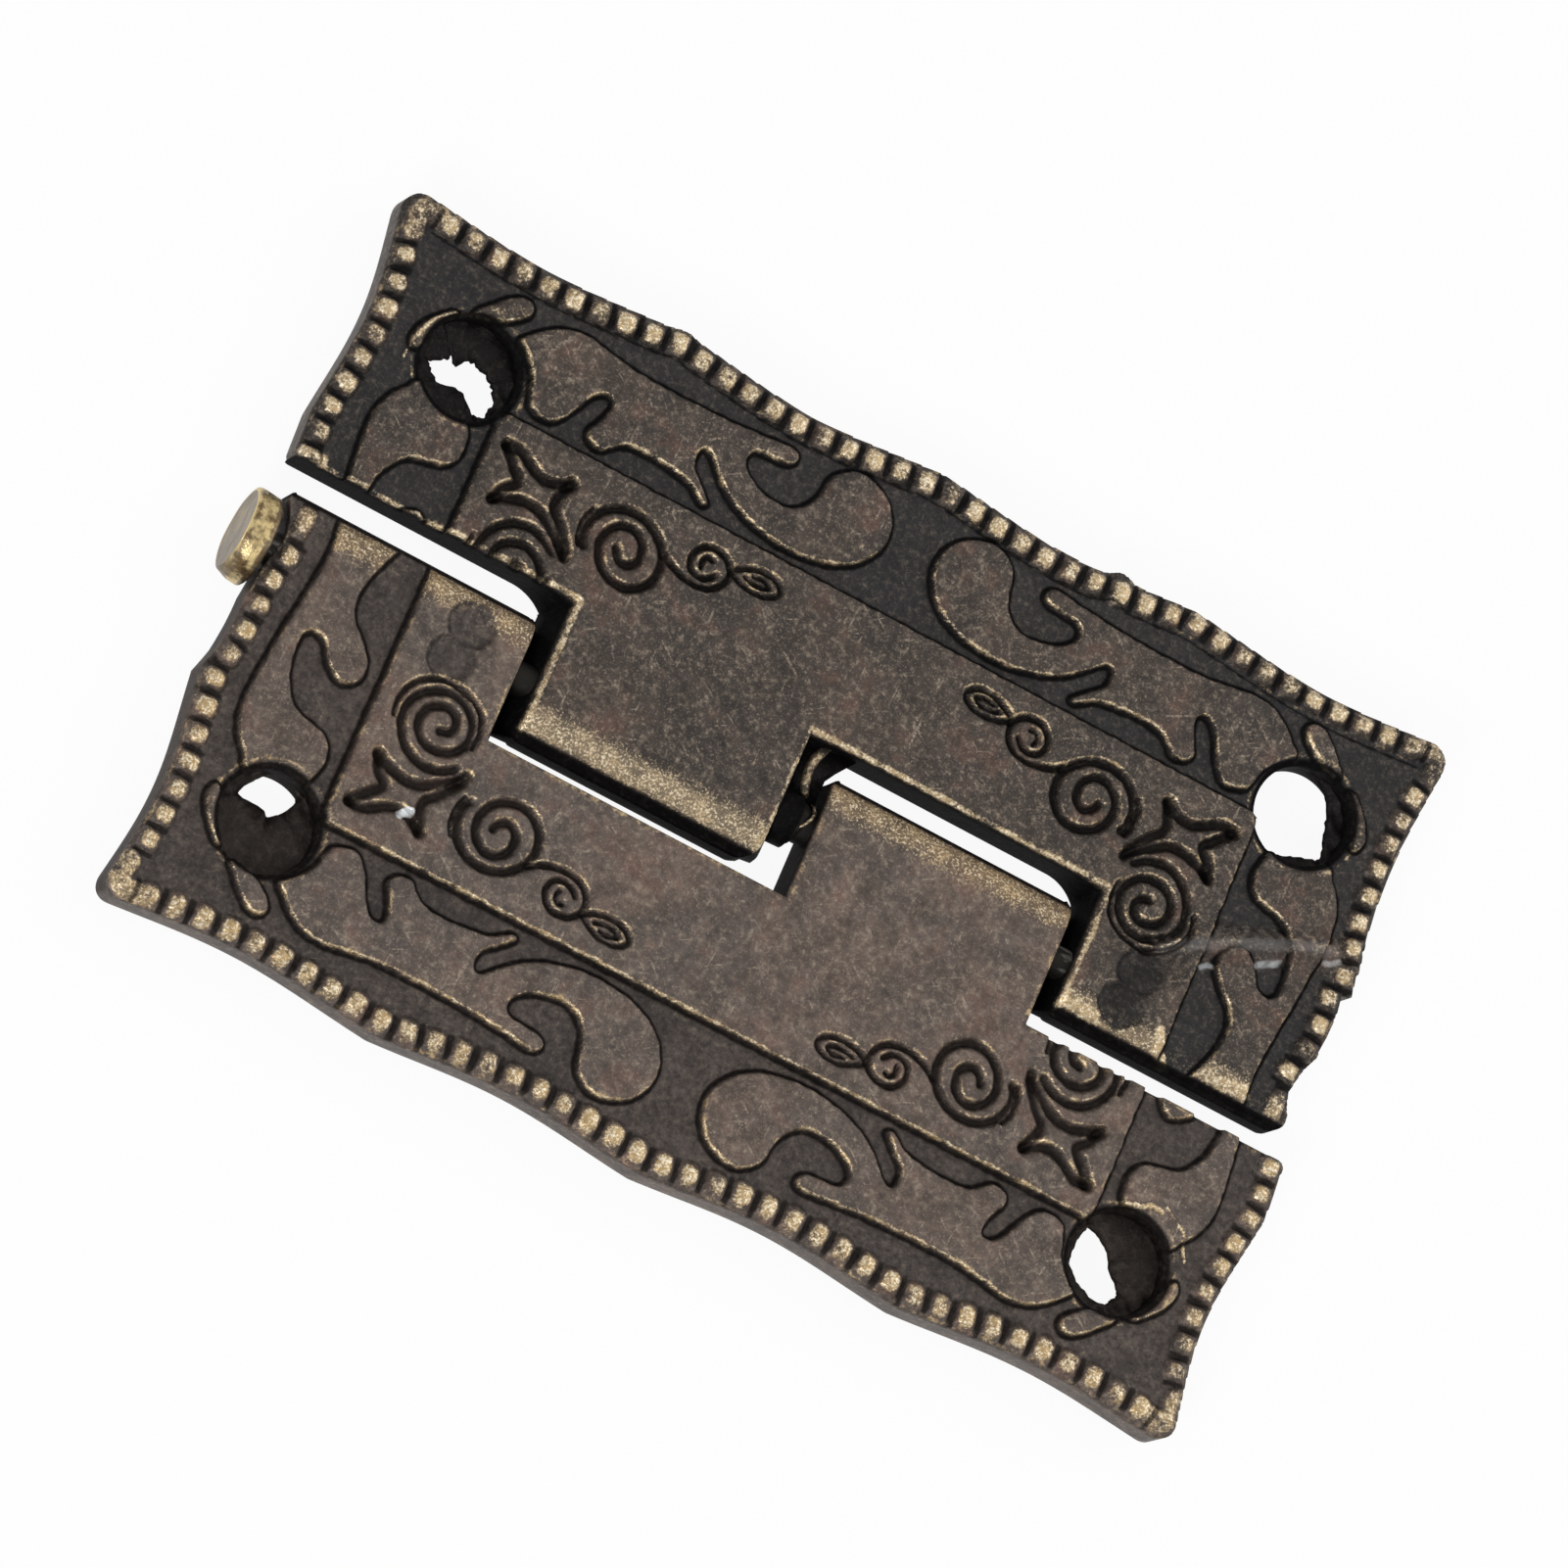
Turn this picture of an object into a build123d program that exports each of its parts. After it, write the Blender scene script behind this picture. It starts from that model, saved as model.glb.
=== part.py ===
"""Cast box hinge: two interleaving leaves with scroll relief, turning on a headed pin."""

import os
from math import atan2, degrees

from build123d import *

os.makedirs("parts", exist_ok=True)

# outline of one leaf, measured from the middle of the closed hinge
corner_x = 26.6
corner_y = 17.1
long_cusp_x = 12.9
long_dip = 0.52
short_cusp = (26.45, 6.0)
short_middle_x = 25.9
short_dip = 0.62
knuckle_end_x = 25.4
corner_radius = 1.3
cusp_radius = 8.0

# levels above the back face
field_z = 2.2
panel_z = 2.6
scroll_height = 0.35
bead_height = 0.3
engraving_depth = 0.3
back_bevel = 0.45

# knuckles and pin
knuckle_reach = 2.5
knuckle_top_radius = 0.9
knuckle_back_radius = 0.6
notch_edge = 3.62
outer_knuckle_inside = 13.93
inner_knuckle_outside = 12.8
inner_knuckle_inside = 0.98
axis_z = 1.2
pin_radius = 0.76
bore_radius = 0.8
head_radius = 2.1
head_face_x = -27.2
head_seat_x = -25.95
pin_tip_x = 25.0

# screw holes
hole_x = 21.0
hole_y = 10.9
hole_radius = 2.25

# raised panel
panel_x = 19.05
panel_y = 9.88

# border beads
bead_pitch = 1.25
bead_along = 0.78
bead_across = 1.0
bead_inset = 0.56
row_count = 20
column_start = -15.35
column_count = 14


def scallop(position, start, end, depth):
    """Inward sag and slope of a scalloped edge at a position along it."""
    t = (position - start) / (end - start)
    slope = 4 * depth * (1 - 2 * t) / (end - start)
    return 4 * depth * t * (1 - t), slope


def row_bead(x):
    """Place of a bead on the long edge, for x to the right of the middle."""
    if x < long_cusp_x:
        sag, slope = scallop(x, 0.0, long_cusp_x, long_dip)
    else:
        sag, slope = scallop(x, long_cusp_x, corner_x, long_dip)
    return x, -corner_y + bead_inset + sag, degrees(atan2(slope, 1))


def column_bead(y):
    """Place of a bead on the short edge at the right hand side."""
    if y < -short_cusp[1]:
        sag, slope = scallop(y, -corner_y, -short_cusp[1], short_dip)
    else:
        sag, slope = scallop(y, -short_cusp[1], 5.4, 0.92)
    return short_cusp[0] - bead_inset - sag, y, 90 + degrees(atan2(slope, 1))


def arc_chain(*points):
    """Arcs through the points, each starting where the last one ends."""
    for i in range(0, len(points) - 2, 2):
        ThreePointArc(points[i], points[i + 1], points[i + 2])


def volute(start, first_radius, growth, half_turns, side):
    """Spiral of half circles, each wider than the last, first over the top if side is 1."""
    x, y = start
    step = 1
    for i in range(half_turns):
        radius = first_radius + growth * i
        end = x + 2 * step * radius
        ThreePointArc((x, y), ((x + end) / 2, y + side * step * radius), (end, y))
        x = end
        step = -step


with BuildPart() as lower_leaf:
    # plate with scalloped edges
    with BuildSketch() as plate:
        with BuildLine():
            Polyline((knuckle_end_x + 0.9, knuckle_reach), (-knuckle_end_x, knuckle_reach))
            ThreePointArc(
                (-knuckle_end_x, knuckle_reach),
                (-knuckle_end_x - 0.1, -1.0),
                (-short_cusp[0], -short_cusp[1]),
            )
            ThreePointArc(
                (-short_cusp[0], -short_cusp[1]),
                (-short_middle_x, -11.5),
                (-corner_x, -corner_y),
            )
            ThreePointArc((-corner_x, -corner_y), (-19.7, long_dip - corner_y), (-long_cusp_x, -corner_y))
            ThreePointArc((-long_cusp_x, -corner_y), (-6.45, long_dip - corner_y), (0, -corner_y))
            ThreePointArc((0, -corner_y), (6.45, long_dip - corner_y), (long_cusp_x, -corner_y))
            ThreePointArc((long_cusp_x, -corner_y), (19.7, long_dip - corner_y), (corner_x, -corner_y))
            ThreePointArc(
                (corner_x, -corner_y),
                (short_middle_x, -11.5),
                (short_cusp[0], -short_cusp[1]),
            )
            Line((short_cusp[0], -short_cusp[1]), (knuckle_end_x + 0.9, knuckle_reach))
        make_face()
        corners = plate.vertices().group_by(Axis.Y)[0]
        fillet(corners.sort_by(Axis.X)[0::4], corner_radius)
        fillet(plate.vertices().group_by(Axis.Y)[0], cusp_radius)
    extrude(amount=field_z)
    rim = lower_leaf.faces().sort_by(Axis.Z)[0].edges().sort_by(Axis.Y)[:-1]
    chamfer(rim, back_bevel)

    # raised panel
    with BuildSketch(Plane.XY.offset(field_z)):
        with BuildLine():
            Polyline(
                (-panel_x, -panel_y),
                (panel_x, -panel_y),
                (panel_x, knuckle_reach),
                (-panel_x, knuckle_reach),
                close=True,
            )
        make_face()
    extrude(amount=panel_z - field_z)

    # long scrolls, left and right
    with BuildSketch(Plane.XY.offset(field_z)):
        with BuildLine():
            Line((-6.5, -14.5), (-14.0, -14.28))
            ThreePointArc((-14.0, -14.28), (-17.4, -14.6), (-19.7, -13.05))
            Line((-19.7, -13.05), (-18.15, -10.95))
            ThreePointArc((-18.15, -10.95), (-17.35, -10.42), (-16.45, -10.95))
            Polyline((-16.45, -10.95), (-15.25, -12.65), (-14.8, -12.35), (-15.25, -10.9))
            ThreePointArc((-15.25, -10.9), (-14.65, -10.36), (-13.9, -10.8))
            Polyline((-13.9, -10.8), (-12.9, -11.2), (-11.2, -11.15), (-9.3, -10.5))
            Polyline((-9.3, -10.5), (-10.4, -11.75), (-10.25, -12.6), (-9.6, -12.35))
            arc_chain((-9.6, -12.35), (-7.6, -10.95), (-5.2, -10.4), (-2.25, -11.05), (-1.2, -12.9))
            arc_chain((-1.2, -12.9), (-1.8, -14.45), (-3.2, -15.05), (-4.45, -14.65), (-4.8, -13.8))
            arc_chain((-4.8, -13.8), (-5.2, -12.6), (-6.2, -12.1), (-7.6, -12.35), (-8.4, -13.0))
            Polyline((-8.4, -13.0), (-8.1, -13.75), (-6.6, -13.8), (-6.25, -14.15), (-6.5, -14.5))
        make_face()
        mirror(about=Plane.YZ)
    extrude(amount=scroll_height)

    # side scrolls, the right one trimmed later by the notch
    with BuildSketch(Plane.XY.offset(field_z)):
        with BuildLine():
            ThreePointArc((-22.95, -9.2), (-23.8, -8.0), (-24.1, -6.6))
            Polyline((-24.1, -6.6), (-23.35, knuckle_reach), (-20.6, knuckle_reach))
            ThreePointArc((-20.6, knuckle_reach), (-21.45, 0.4), (-21.1, -1.3))
            Line((-21.1, -1.3), (-19.95, -2.6))
            ThreePointArc((-19.95, -2.6), (-20.2, -4.0), (-21.2, -3.9))
            Line((-21.2, -3.9), (-21.9, -3.0))
            ThreePointArc((-21.9, -3.0), (-22.6, -2.72), (-23.0, -3.4))
            Line((-23.0, -3.4), (-22.9, -4.6))
            arc_chain((-22.9, -4.6), (-22.35, -5.8), (-21.3, -6.25), (-20.3, -6.65), (-19.95, -7.5))
            Polyline((-19.95, -7.5), (-19.95, -8.45), (-21.2, -9.5), (-22.95, -9.2))
        make_face()
        mirror(about=Plane.YZ)
    extrude(amount=scroll_height)

    # petals around the screw holes
    with BuildSketch(Plane.XY.offset(field_z)):
        with BuildLine():
            Polyline((-23.8, -10.7), (-23.1, -12.2), (-22.1, -13.15), (-23.8, -12.0), close=True)
        make_face()
        with BuildLine():
            Polyline((-21.9, -13.15), (-20.4, -13.4), (-19.6, -14.65), (-21.1, -14.3), close=True)
        make_face()
        mirror(about=Plane.YZ)
    extrude(amount=scroll_height)

    # border beads
    with BuildSketch(Plane.XY.offset(field_z)):
        for i in range(row_count):
            x, y, turn = row_bead(bead_pitch * (i + 0.5))
            with Locations(Location((x, y), turn)):
                Rectangle(bead_along, bead_across)
        for i in range(column_count):
            x, y, turn = column_bead(column_start + bead_pitch * i)
            with Locations(Location((x, y), turn)):
                Rectangle(bead_along, bead_across)
        with Locations((corner_x - 1.0, -corner_y + 0.9)):
            Rectangle(bead_along, bead_along)
        mirror(about=Plane.YZ)
    extrude(amount=bead_height, taper=12)

    # engraved volutes and star on the panel
    with BuildSketch(Plane.XY.offset(panel_z)):
        with BuildLine():
            volute((-12.6, -6.95), 0.95, 0.65, 2, 1)
        trace(line_width=0.4)
        with BuildLine():
            volute((-17.0, -3.9), 0.95, 0.65, 2, -1)
        trace(line_width=0.4)
        with BuildLine():
            ThreePointArc((-18.0, -6.1), (-16.4, -6.7), (-14.1, -5.4))
            ThreePointArc((-14.1, -5.4), (-15.5, -7.2), (-15.1, -8.4))
            ThreePointArc((-15.1, -8.4), (-16.5, -8.0), (-18.3, -8.6))
            ThreePointArc((-18.3, -8.6), (-17.15, -7.4), (-18.0, -6.1))
        make_face()
        mirror(about=Plane.YZ)
    extrude(amount=-engraving_depth, mode=Mode.SUBTRACT)

    # notches for the knuckles of the other leaf
    with BuildSketch(Plane.XY.offset(-1)):
        with BuildLine():
            Polyline(
                (-outer_knuckle_inside, -notch_edge),
                (inner_knuckle_inside, -notch_edge),
                (inner_knuckle_inside, notch_edge),
                (-outer_knuckle_inside, notch_edge),
                close=True,
            )
        make_face()
        with BuildLine():
            Polyline(
                (inner_knuckle_outside, -notch_edge),
                (corner_x + 1, -notch_edge),
                (corner_x + 1, notch_edge),
                (inner_knuckle_outside, notch_edge),
                close=True,
            )
        make_face()
    extrude(amount=panel_z + 2, mode=Mode.SUBTRACT)

    # rounded knuckle ends
    with BuildSketch(Plane.YZ):
        with BuildLine():
            Polyline(
                (knuckle_reach - knuckle_back_radius, 0),
                (knuckle_reach - knuckle_back_radius, -1),
                (knuckle_reach + 1, -1),
                (knuckle_reach + 1, panel_z + 1),
                (knuckle_reach - knuckle_top_radius, panel_z + 1),
                (knuckle_reach - knuckle_top_radius, panel_z),
            )
            RadiusArc(
                (knuckle_reach - knuckle_top_radius, panel_z),
                (knuckle_reach, panel_z - knuckle_top_radius),
                knuckle_top_radius,
            )
            Line((knuckle_reach, panel_z - knuckle_top_radius), (knuckle_reach, knuckle_back_radius))
            RadiusArc(
                (knuckle_reach, knuckle_back_radius),
                (knuckle_reach - knuckle_back_radius, 0),
                knuckle_back_radius,
            )
        make_face()
    extrude(amount=corner_x + 1, both=True, mode=Mode.SUBTRACT)

    # bore for the pin and the two screw holes
    with BuildSketch(Plane.YZ):
        with Locations((0, axis_z)):
            Circle(bore_radius)
    extrude(amount=corner_x + 1, both=True, mode=Mode.SUBTRACT)
    with Locations((-hole_x, -hole_y, panel_z), (hole_x, -hole_y, panel_z)):
        Hole(hole_radius)

with BuildPart() as upper_leaf:
    # the same casting turned half round
    add(lower_leaf.part, rotation=(0, 0, 180))

with BuildPart() as hinge_pin:
    # shank, then the flat round head
    with BuildSketch(Plane.YZ.offset(head_seat_x)):
        with Locations((0, axis_z)):
            Circle(pin_radius)
    extrude(amount=pin_tip_x - head_seat_x)
    with BuildSketch(Plane.YZ.offset(head_face_x)):
        with Locations((0, axis_z)):
            Circle(head_radius)
    extrude(amount=head_seat_x - head_face_x)
    chamfer(hinge_pin.faces().sort_by(Axis.X)[0].edges(), 0.15)

lower_leaf.part.label = "lower_leaf"
upper_leaf.part.label = "upper_leaf"
hinge_pin.part.label = "hinge_pin"
export_step(lower_leaf.part, "parts/lower_leaf.step")
export_step(upper_leaf.part, "parts/upper_leaf.step")
export_step(hinge_pin.part, "parts/hinge_pin.step")
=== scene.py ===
"""Looks of a cast box hinge: two relief leaves in worn antique bronze on a headed brass pin."""

from __future__ import annotations

import logging
import math
from dataclasses import dataclass, field
from enum import Enum
from typing import Any, Callable, Iterable, Sequence

import bpy
import numpy as np
from mathutils import Matrix, Vector
from mathutils.geometry import tessellate_polygon


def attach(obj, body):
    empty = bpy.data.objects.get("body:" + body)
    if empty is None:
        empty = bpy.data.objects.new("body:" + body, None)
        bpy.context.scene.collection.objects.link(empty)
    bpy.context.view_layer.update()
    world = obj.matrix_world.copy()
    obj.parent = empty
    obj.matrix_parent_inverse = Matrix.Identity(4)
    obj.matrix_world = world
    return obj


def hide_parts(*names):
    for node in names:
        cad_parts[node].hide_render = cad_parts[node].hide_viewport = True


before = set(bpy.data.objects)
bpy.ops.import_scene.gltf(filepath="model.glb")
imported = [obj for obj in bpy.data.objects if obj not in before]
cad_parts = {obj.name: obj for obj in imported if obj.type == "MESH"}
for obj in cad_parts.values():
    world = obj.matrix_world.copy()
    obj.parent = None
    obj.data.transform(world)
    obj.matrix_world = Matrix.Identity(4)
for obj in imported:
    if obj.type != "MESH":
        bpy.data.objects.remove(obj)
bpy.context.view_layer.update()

LOG = logging.getLogger("box_hinge")
MM = 0.001
BLOCK = 4  # cells along a block of the grid that may become one face
AXIS_HEIGHT = 1.2  # of the pin above the back, in millimetres
HASH_STEP, HASH_SPREAD = 12.9898, 43758.5453
WHITE = (1.0, 1.0, 1.0, 1.0)
SEEING_RAYS = ("Is Camera Ray", "Is Glossy Ray", "Is Transmission Ray")
# rings of a wall from the face to the back: shares of its fall, of its tuck under the edge and of its root
WALL_RINGS = (
    (0.3, 0.0, 0.25),
    (0.65, 0.0, 0.85),
    (1.0, 0.0, 1.0),
    (1.0, 0.5, 1.0),
    (1.0, 0.87, 1.0),
    (1.0, 1.0, 1.0),
)
Point = tuple[float, float]
Place = tuple[float, float, float]
Tone = tuple[int, int, int]
Window = tuple[slice, slice]
Noise = tuple[float, ...]  # grains in a millimetre, layers, roughness, then length and turn of the grains
Array = np.ndarray


def linear(red: int, green: int, blue: int) -> tuple[float, float, float, float]:
    """Linear colour of an 8-bit screen colour."""
    return tuple(((c / 255 + 0.055) / 1.055) ** 2.4 for c in (red, green, blue)) + (1.0,)


def ease(low: float, high: float, value: Array) -> Array:
    """Smooth step of an array from 0 at low to 1 at high."""
    t = np.clip((value - low) / (high - low), 0.0, 1.0)
    return t * t * (3.0 - 2.0 * t)


def bump_at(value: Array, middle: float, width: float) -> Array:
    """Bell of height 1 around a middle value."""
    return np.exp(-(((value - middle) / width) ** 2))


def chance(*seed: float) -> float:
    """Repeatable number from 0 to 1 for a seed."""
    angle = sum((k + 1.7) * HASH_STEP * v for k, v in enumerate(seed))
    return math.modf(abs(math.sin(angle)) * HASH_SPREAD)[0]


class Side(Enum):
    """Half of a leaf, as the factor on x that turns the left half's drawing to it."""

    LEFT = 1.0
    RIGHT = -1.0


class Channel(Enum):
    """Surface fields that the bronze finish reads from the mesh."""

    LEVEL = "level"
    WEAR = "wear"
    # dark: darker grooves, bead gaps and screw holes, and painted shade on gap walls, knuckle ends, shape
    # feet and pocket rims
    DARK = "dark"
    GOLD = "gold"
    CHIP = "chip"


def smooth_line(points: Sequence[Point], closed: bool = True, steps: int = 8) -> Array:
    """Smooth line through points.

    Args:
        points: the points that the line goes through, in millimetres.
        closed: whether the line returns to its start.
        steps: number of pieces between two points.

    Returns:
        The points of the fine line, one row each.
    """
    p = np.asarray(points, float)
    if closed:
        a, b, c, d = np.roll(p, 1, 0), p, np.roll(p, -1, 0), np.roll(p, -2, 0)
    else:
        q = np.vstack([2 * p[0] - p[1], p, 2 * p[-1] - p[-2]])
        a, b, c, d = q[:-3], q[1:-2], q[2:-1], q[3:]
    t = np.linspace(0.0, 1.0, steps, endpoint=False)[:, None, None]
    line = 0.5 * (2 * b + (c - a) * t + (2 * a - 5 * b + 4 * c - d) * t**2 + (3 * b - a - 3 * c + d) * t**3)
    line = line.transpose(1, 0, 2).reshape(-1, 2)
    return line if closed else np.vstack([line, p[-1:]])


def line_distance(x: Array, y: Array, line: Array, closed: bool) -> Array:
    """Distance of each place to a line.

    Args:
        x: x of the places.
        y: y of the places.
        line: points of the line.
        closed: whether the last point joins the first.

    Returns:
        The distances, in the shape of x.
    """
    ends = np.roll(line, -1, 0) if closed else line[1:]
    starts = line if closed else line[:-1]
    best = np.full(x.shape, 1e9)
    for (ax, ay), (bx, by) in zip(starts, ends):
        ux, uy = bx - ax, by - ay
        t = np.clip(((x - ax) * ux + (y - ay) * uy) / max(ux * ux + uy * uy, 1e-12), 0.0, 1.0)
        np.minimum(best, np.hypot(x - ax - t * ux, y - ay - t * uy), out=best)
    return best


def inside(x: Array, y: Array, loop: Array) -> Array:
    """Whether each place lies inside a closed line."""
    found = np.zeros(x.shape, bool)
    for (ax, ay), (bx, by) in zip(loop, np.roll(loop, -1, 0)):
        if ay != by:
            found ^= ((ay > y) != (by > y)) & (x < (bx - ax) * (y - ay) / (by - ay) + ax)
    return found


@dataclass
class Relief:
    """Height of a leaf's face over a fine grid, with the fields that colour it.

    A pair named slope holds where a soft step starts and ends, and a pair named line holds how far a
    line lies from an edge and how wide it is, in millimetres.
    """

    field_level: float = 2.05
    panel_level: float = 2.55
    scroll_level: float = 2.46
    cell: float = 0.085
    front: float = -1.0
    low: Point = (-26.73, -17.27)
    high: Point = (26.73, 2.70)
    margin: float = 0.7
    groove_margin: float = 0.6
    shoulder_slope: Point = (-0.07, 0.09)
    top_slope: Point = (-0.03, 0.06)
    rubbed_line: Point = (0.08, 0.095)
    foot_shadow_line: Point = (-0.1, 0.11)
    foot_shadow: float = 0.95
    pocket_slope: Point = (-0.12, 0.3)
    pocket_tone_slope: Point = (-0.15, 0.2)
    pocket_line: Point = (0.08, 0.14)
    pocket_rim_shadow: float = 0.34
    groove_dark: float = 0.76
    groove_spread: float = 1.12
    lip_line: Point = (0.11, 0.08)
    gap_dark: float = 0.68
    x: Array = field(init=False)
    y: Array = field(init=False)
    height: Array = field(init=False)
    fields: dict[Channel, Array] = field(init=False)

    def __post_init__(self) -> None:
        """Lays out the grid with a bare field."""
        columns = np.arange(self.low[0], self.high[0] + self.cell, self.cell)
        rows = np.arange(self.low[1], self.high[1] + self.cell, self.cell)
        self.x, self.y = np.meshgrid(columns, rows)
        self.height = np.full(self.x.shape, self.field_level)
        self.fields = {channel: np.zeros(self.x.shape) for channel in Channel}

    def window(self, line: Array, margin: float) -> Window:
        """Part of the grid around a line.

        Args:
            line: points of the line.
            margin: distance kept around it.

        Returns:
            The slices of rows and columns.
        """
        lows = np.floor((line.min(0) - margin - self.low) / self.cell).astype(int)
        highs = np.ceil((line.max(0) + margin - self.low) / self.cell).astype(int) + 1
        lows, highs = np.maximum(lows, 0), np.maximum(highs, 0)
        return slice(lows[1], highs[1]), slice(lows[0], highs[0])

    def paint(self, channel: Channel, part: Window, amount: Array) -> None:
        """Raises a colour field to at least an amount over a part of the grid."""
        target = self.fields[channel][part]
        np.maximum(target, amount, out=target)

    def wobble(self, part: Window) -> Array:
        """Slow unevenness of hand-cut edges, in millimetres."""
        x, y = self.x[part], self.y[part]
        slow = np.sin(4.7 * x + 1.9 * y + 0.6) + np.sin(5.3 * y - 2.9 * x + 2.1)
        return 0.009 * slow + 0.008 * np.sin(8.3 * x - 6.1 * y) + 0.008 * np.sin(11.0 * y + 9.0 * x)

    def depth_in(self, *loops: Array) -> tuple[Window, Array]:
        """Signed distance to closed lines.

        Args:
            loops: the closed lines, which join where they overlap.

        Returns:
            The part of the grid around them, and the distances there, positive inside.
        """
        part = self.window(np.vstack(loops), self.margin)
        x, y = self.x[part], self.y[part]
        depths = []
        for loop in loops:
            distance = line_distance(x, y, loop, True)
            depths.append(np.where(inside(x, y, loop), distance, -distance))
        return part, np.max(depths, axis=0) + self.wobble(part)

    def rub_and_front_light(self, distance: Array) -> Array:
        """Share of the rubbing that an edge takes, with painted light: more where the edge faces the front,
        towards the key lamp.
        """
        slope = np.gradient(distance, self.cell, axis=0)
        return 0.58 - 0.42 * self.front * np.clip(slope, -1.0, 1.0)

    def raise_shape(self, loop: Array, level: float, worn: float) -> None:
        """Raises a flat-topped shape with soft shoulders and a painted shadow along its foot.

        Args:
            loop: outline of the shape at half height.
            level: height of its top.
            worn: how bright its edge is rubbed.
        """
        part, depth = self.depth_in(loop)
        top = self.field_level + (level - self.field_level) * ease(*self.shoulder_slope, depth)
        np.maximum(self.height[part], top, out=self.height[part])
        self.paint(Channel.LEVEL, part, ease(*self.top_slope, depth))
        # rubbed edge, brighter where it faces the lamp as painted light
        self.paint(Channel.WEAR, part, worn * bump_at(depth, *self.rubbed_line) * self.rub_and_front_light(depth))
        # painted shadow along the foot of the shape
        self.paint(Channel.DARK, part, self.foot_shadow * bump_at(depth, *self.foot_shadow_line))

    def sink_shape(self, loops: Sequence[Array], deep: float) -> None:
        """Sinks one shallow pocket over closed lines that overlap, with a painted shadow around its rim."""
        part, depth = self.depth_in(*loops)
        self.height[part] -= deep * ease(*self.pocket_slope, depth)
        self.fields[Channel.LEVEL][part] *= 1.0 - 0.9 * ease(*self.pocket_tone_slope, depth)
        # painted shadow around the pocket's rim
        self.paint(Channel.DARK, part, self.pocket_rim_shadow * bump_at(depth, *self.pocket_line))

    def groove(self, line: Array, width: float, deep: float, worn: float, closed: bool = False) -> None:
        """Cuts a round-bottomed groove along a line.

        Args:
            line: middle of the groove.
            width: its full width.
            deep: its depth.
            worn: how bright its lips are rubbed.
            closed: whether the line returns to its start.
        """
        part = self.window(line, self.groove_margin)
        off = line_distance(self.x[part], self.y[part], line, closed)
        distance = np.maximum(off + self.wobble(part), 0.0) / (0.5 * width)
        self.height[part] -= deep * np.exp(-0.7 * distance**3)
        # darker along the groove, most in its middle
        self.paint(Channel.DARK, part, self.groove_dark * np.exp(-((distance / self.groove_spread) ** 4)))
        away, wide = self.lip_line
        # rubbed lips, brighter where they face the lamp as painted light
        self.paint(Channel.WEAR, part, worn * bump_at(off, 0.5 * width + away, wide) * self.rub_and_front_light(off))

    def bead(self, centre: Point, turn: float, along: float, across: float, tall: float, worn: float) -> None:
        """Raises one pillow of the beaded border.

        Args:
            centre: middle of the bead.
            turn: angle of its long direction.
            along: length along the border.
            across: length over the border.
            tall: height above the field.
            worn: how bright its top is rubbed.
        """
        c, s = math.cos(turn), math.sin(turn)
        part = self.window(np.array([centre]), max(along, across))
        dx, dy = self.x[part] - centre[0], self.y[part] - centre[1]
        u = np.abs((dx * c + dy * s) / (0.5 * along))
        v = np.abs((dy * c - dx * s) / (0.5 * across))
        reach = (u**3 + v**3) ** (1 / 3)
        pillow = np.clip(1.0 - reach**2.6, 0.0, 1.0) ** 0.6
        top = self.field_level + tall * pillow
        np.maximum(self.height[part], top, out=self.height[part])
        self.paint(Channel.LEVEL, part, ease(0.02, 0.4, pillow))
        self.paint(Channel.WEAR, part, worn * ease(0.4, 1.0, pillow))
        gap = ease(0.8, 1.0, u) * (1 - ease(1.3, 1.5, u))
        # darker in the gaps between neighbouring beads
        self.paint(Channel.DARK, part, self.gap_dark * gap * (1 - ease(0.75, 1.1, v)))

    def ridge(self, line: Array, width: float, tall: float, worn: float) -> None:
        """Raises a rounded ridge along a line.

        Args:
            line: middle of the ridge.
            width: its width.
            tall: height above the field.
            worn: how bright its top is rubbed.
        """
        part = self.window(line, 1.0)
        distance = line_distance(self.x[part], self.y[part], line, False) / (0.5 * width)
        pillow = np.clip(1.0 - distance**4, 0.0, 1.0) ** 0.6
        np.maximum(self.height[part], self.field_level + tall * pillow, out=self.height[part])
        self.paint(Channel.LEVEL, part, ease(0.02, 0.3, pillow))
        self.paint(Channel.WEAR, part, worn * ease(0.3, 0.95, pillow))


@dataclass(frozen=True)
class Notch:
    """Gap in a leaf for a knuckle of the other leaf."""

    start: float
    end: float
    edge: float
    rounds: Point = (1.3, 1.3)
    flares: Point = (0.5, 0.5)
    worn: float = 0.75


@dataclass(frozen=True)
class ShortEdge:
    """Scalloped short edge of a leaf, as distances from the middle of the hinge."""

    cusp: Point
    corner_x: float
    dip: float
    notched: bool
    bulge: tuple[Point, ...] = ((-20.0, 0.0), (5.0, 0.0))

    def reach(self, y: Array, corner_y: float) -> Array:
        """Distance of the edge from the middle.

        Args:
            y: places along the edge.
            corner_y: where the leaf's corner is.

        Returns:
            The distances.
        """
        x, cusp_y = self.cusp
        t = np.clip((-cusp_y - y) / (corner_y - cusp_y), 0.0, 1.0)
        sag = 0.6 * 4 * t * (1 - t) + 0.2 * (1 - np.cos(2 * np.pi * t))
        lower = x + (self.corner_x - x) * t - self.dip * sag
        if self.notched:
            upper = x - 0.05 * (y + cusp_y)
        else:
            upper = x - 1.0 + (np.abs(y + 0.4) / 5.7) ** 1.8 + 0.55 * ease(0.6, 3.2, y)
        places, amounts = zip(*self.bulge)
        return np.where(y < -cusp_y, lower, upper) + np.interp(y, places, amounts)


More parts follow.
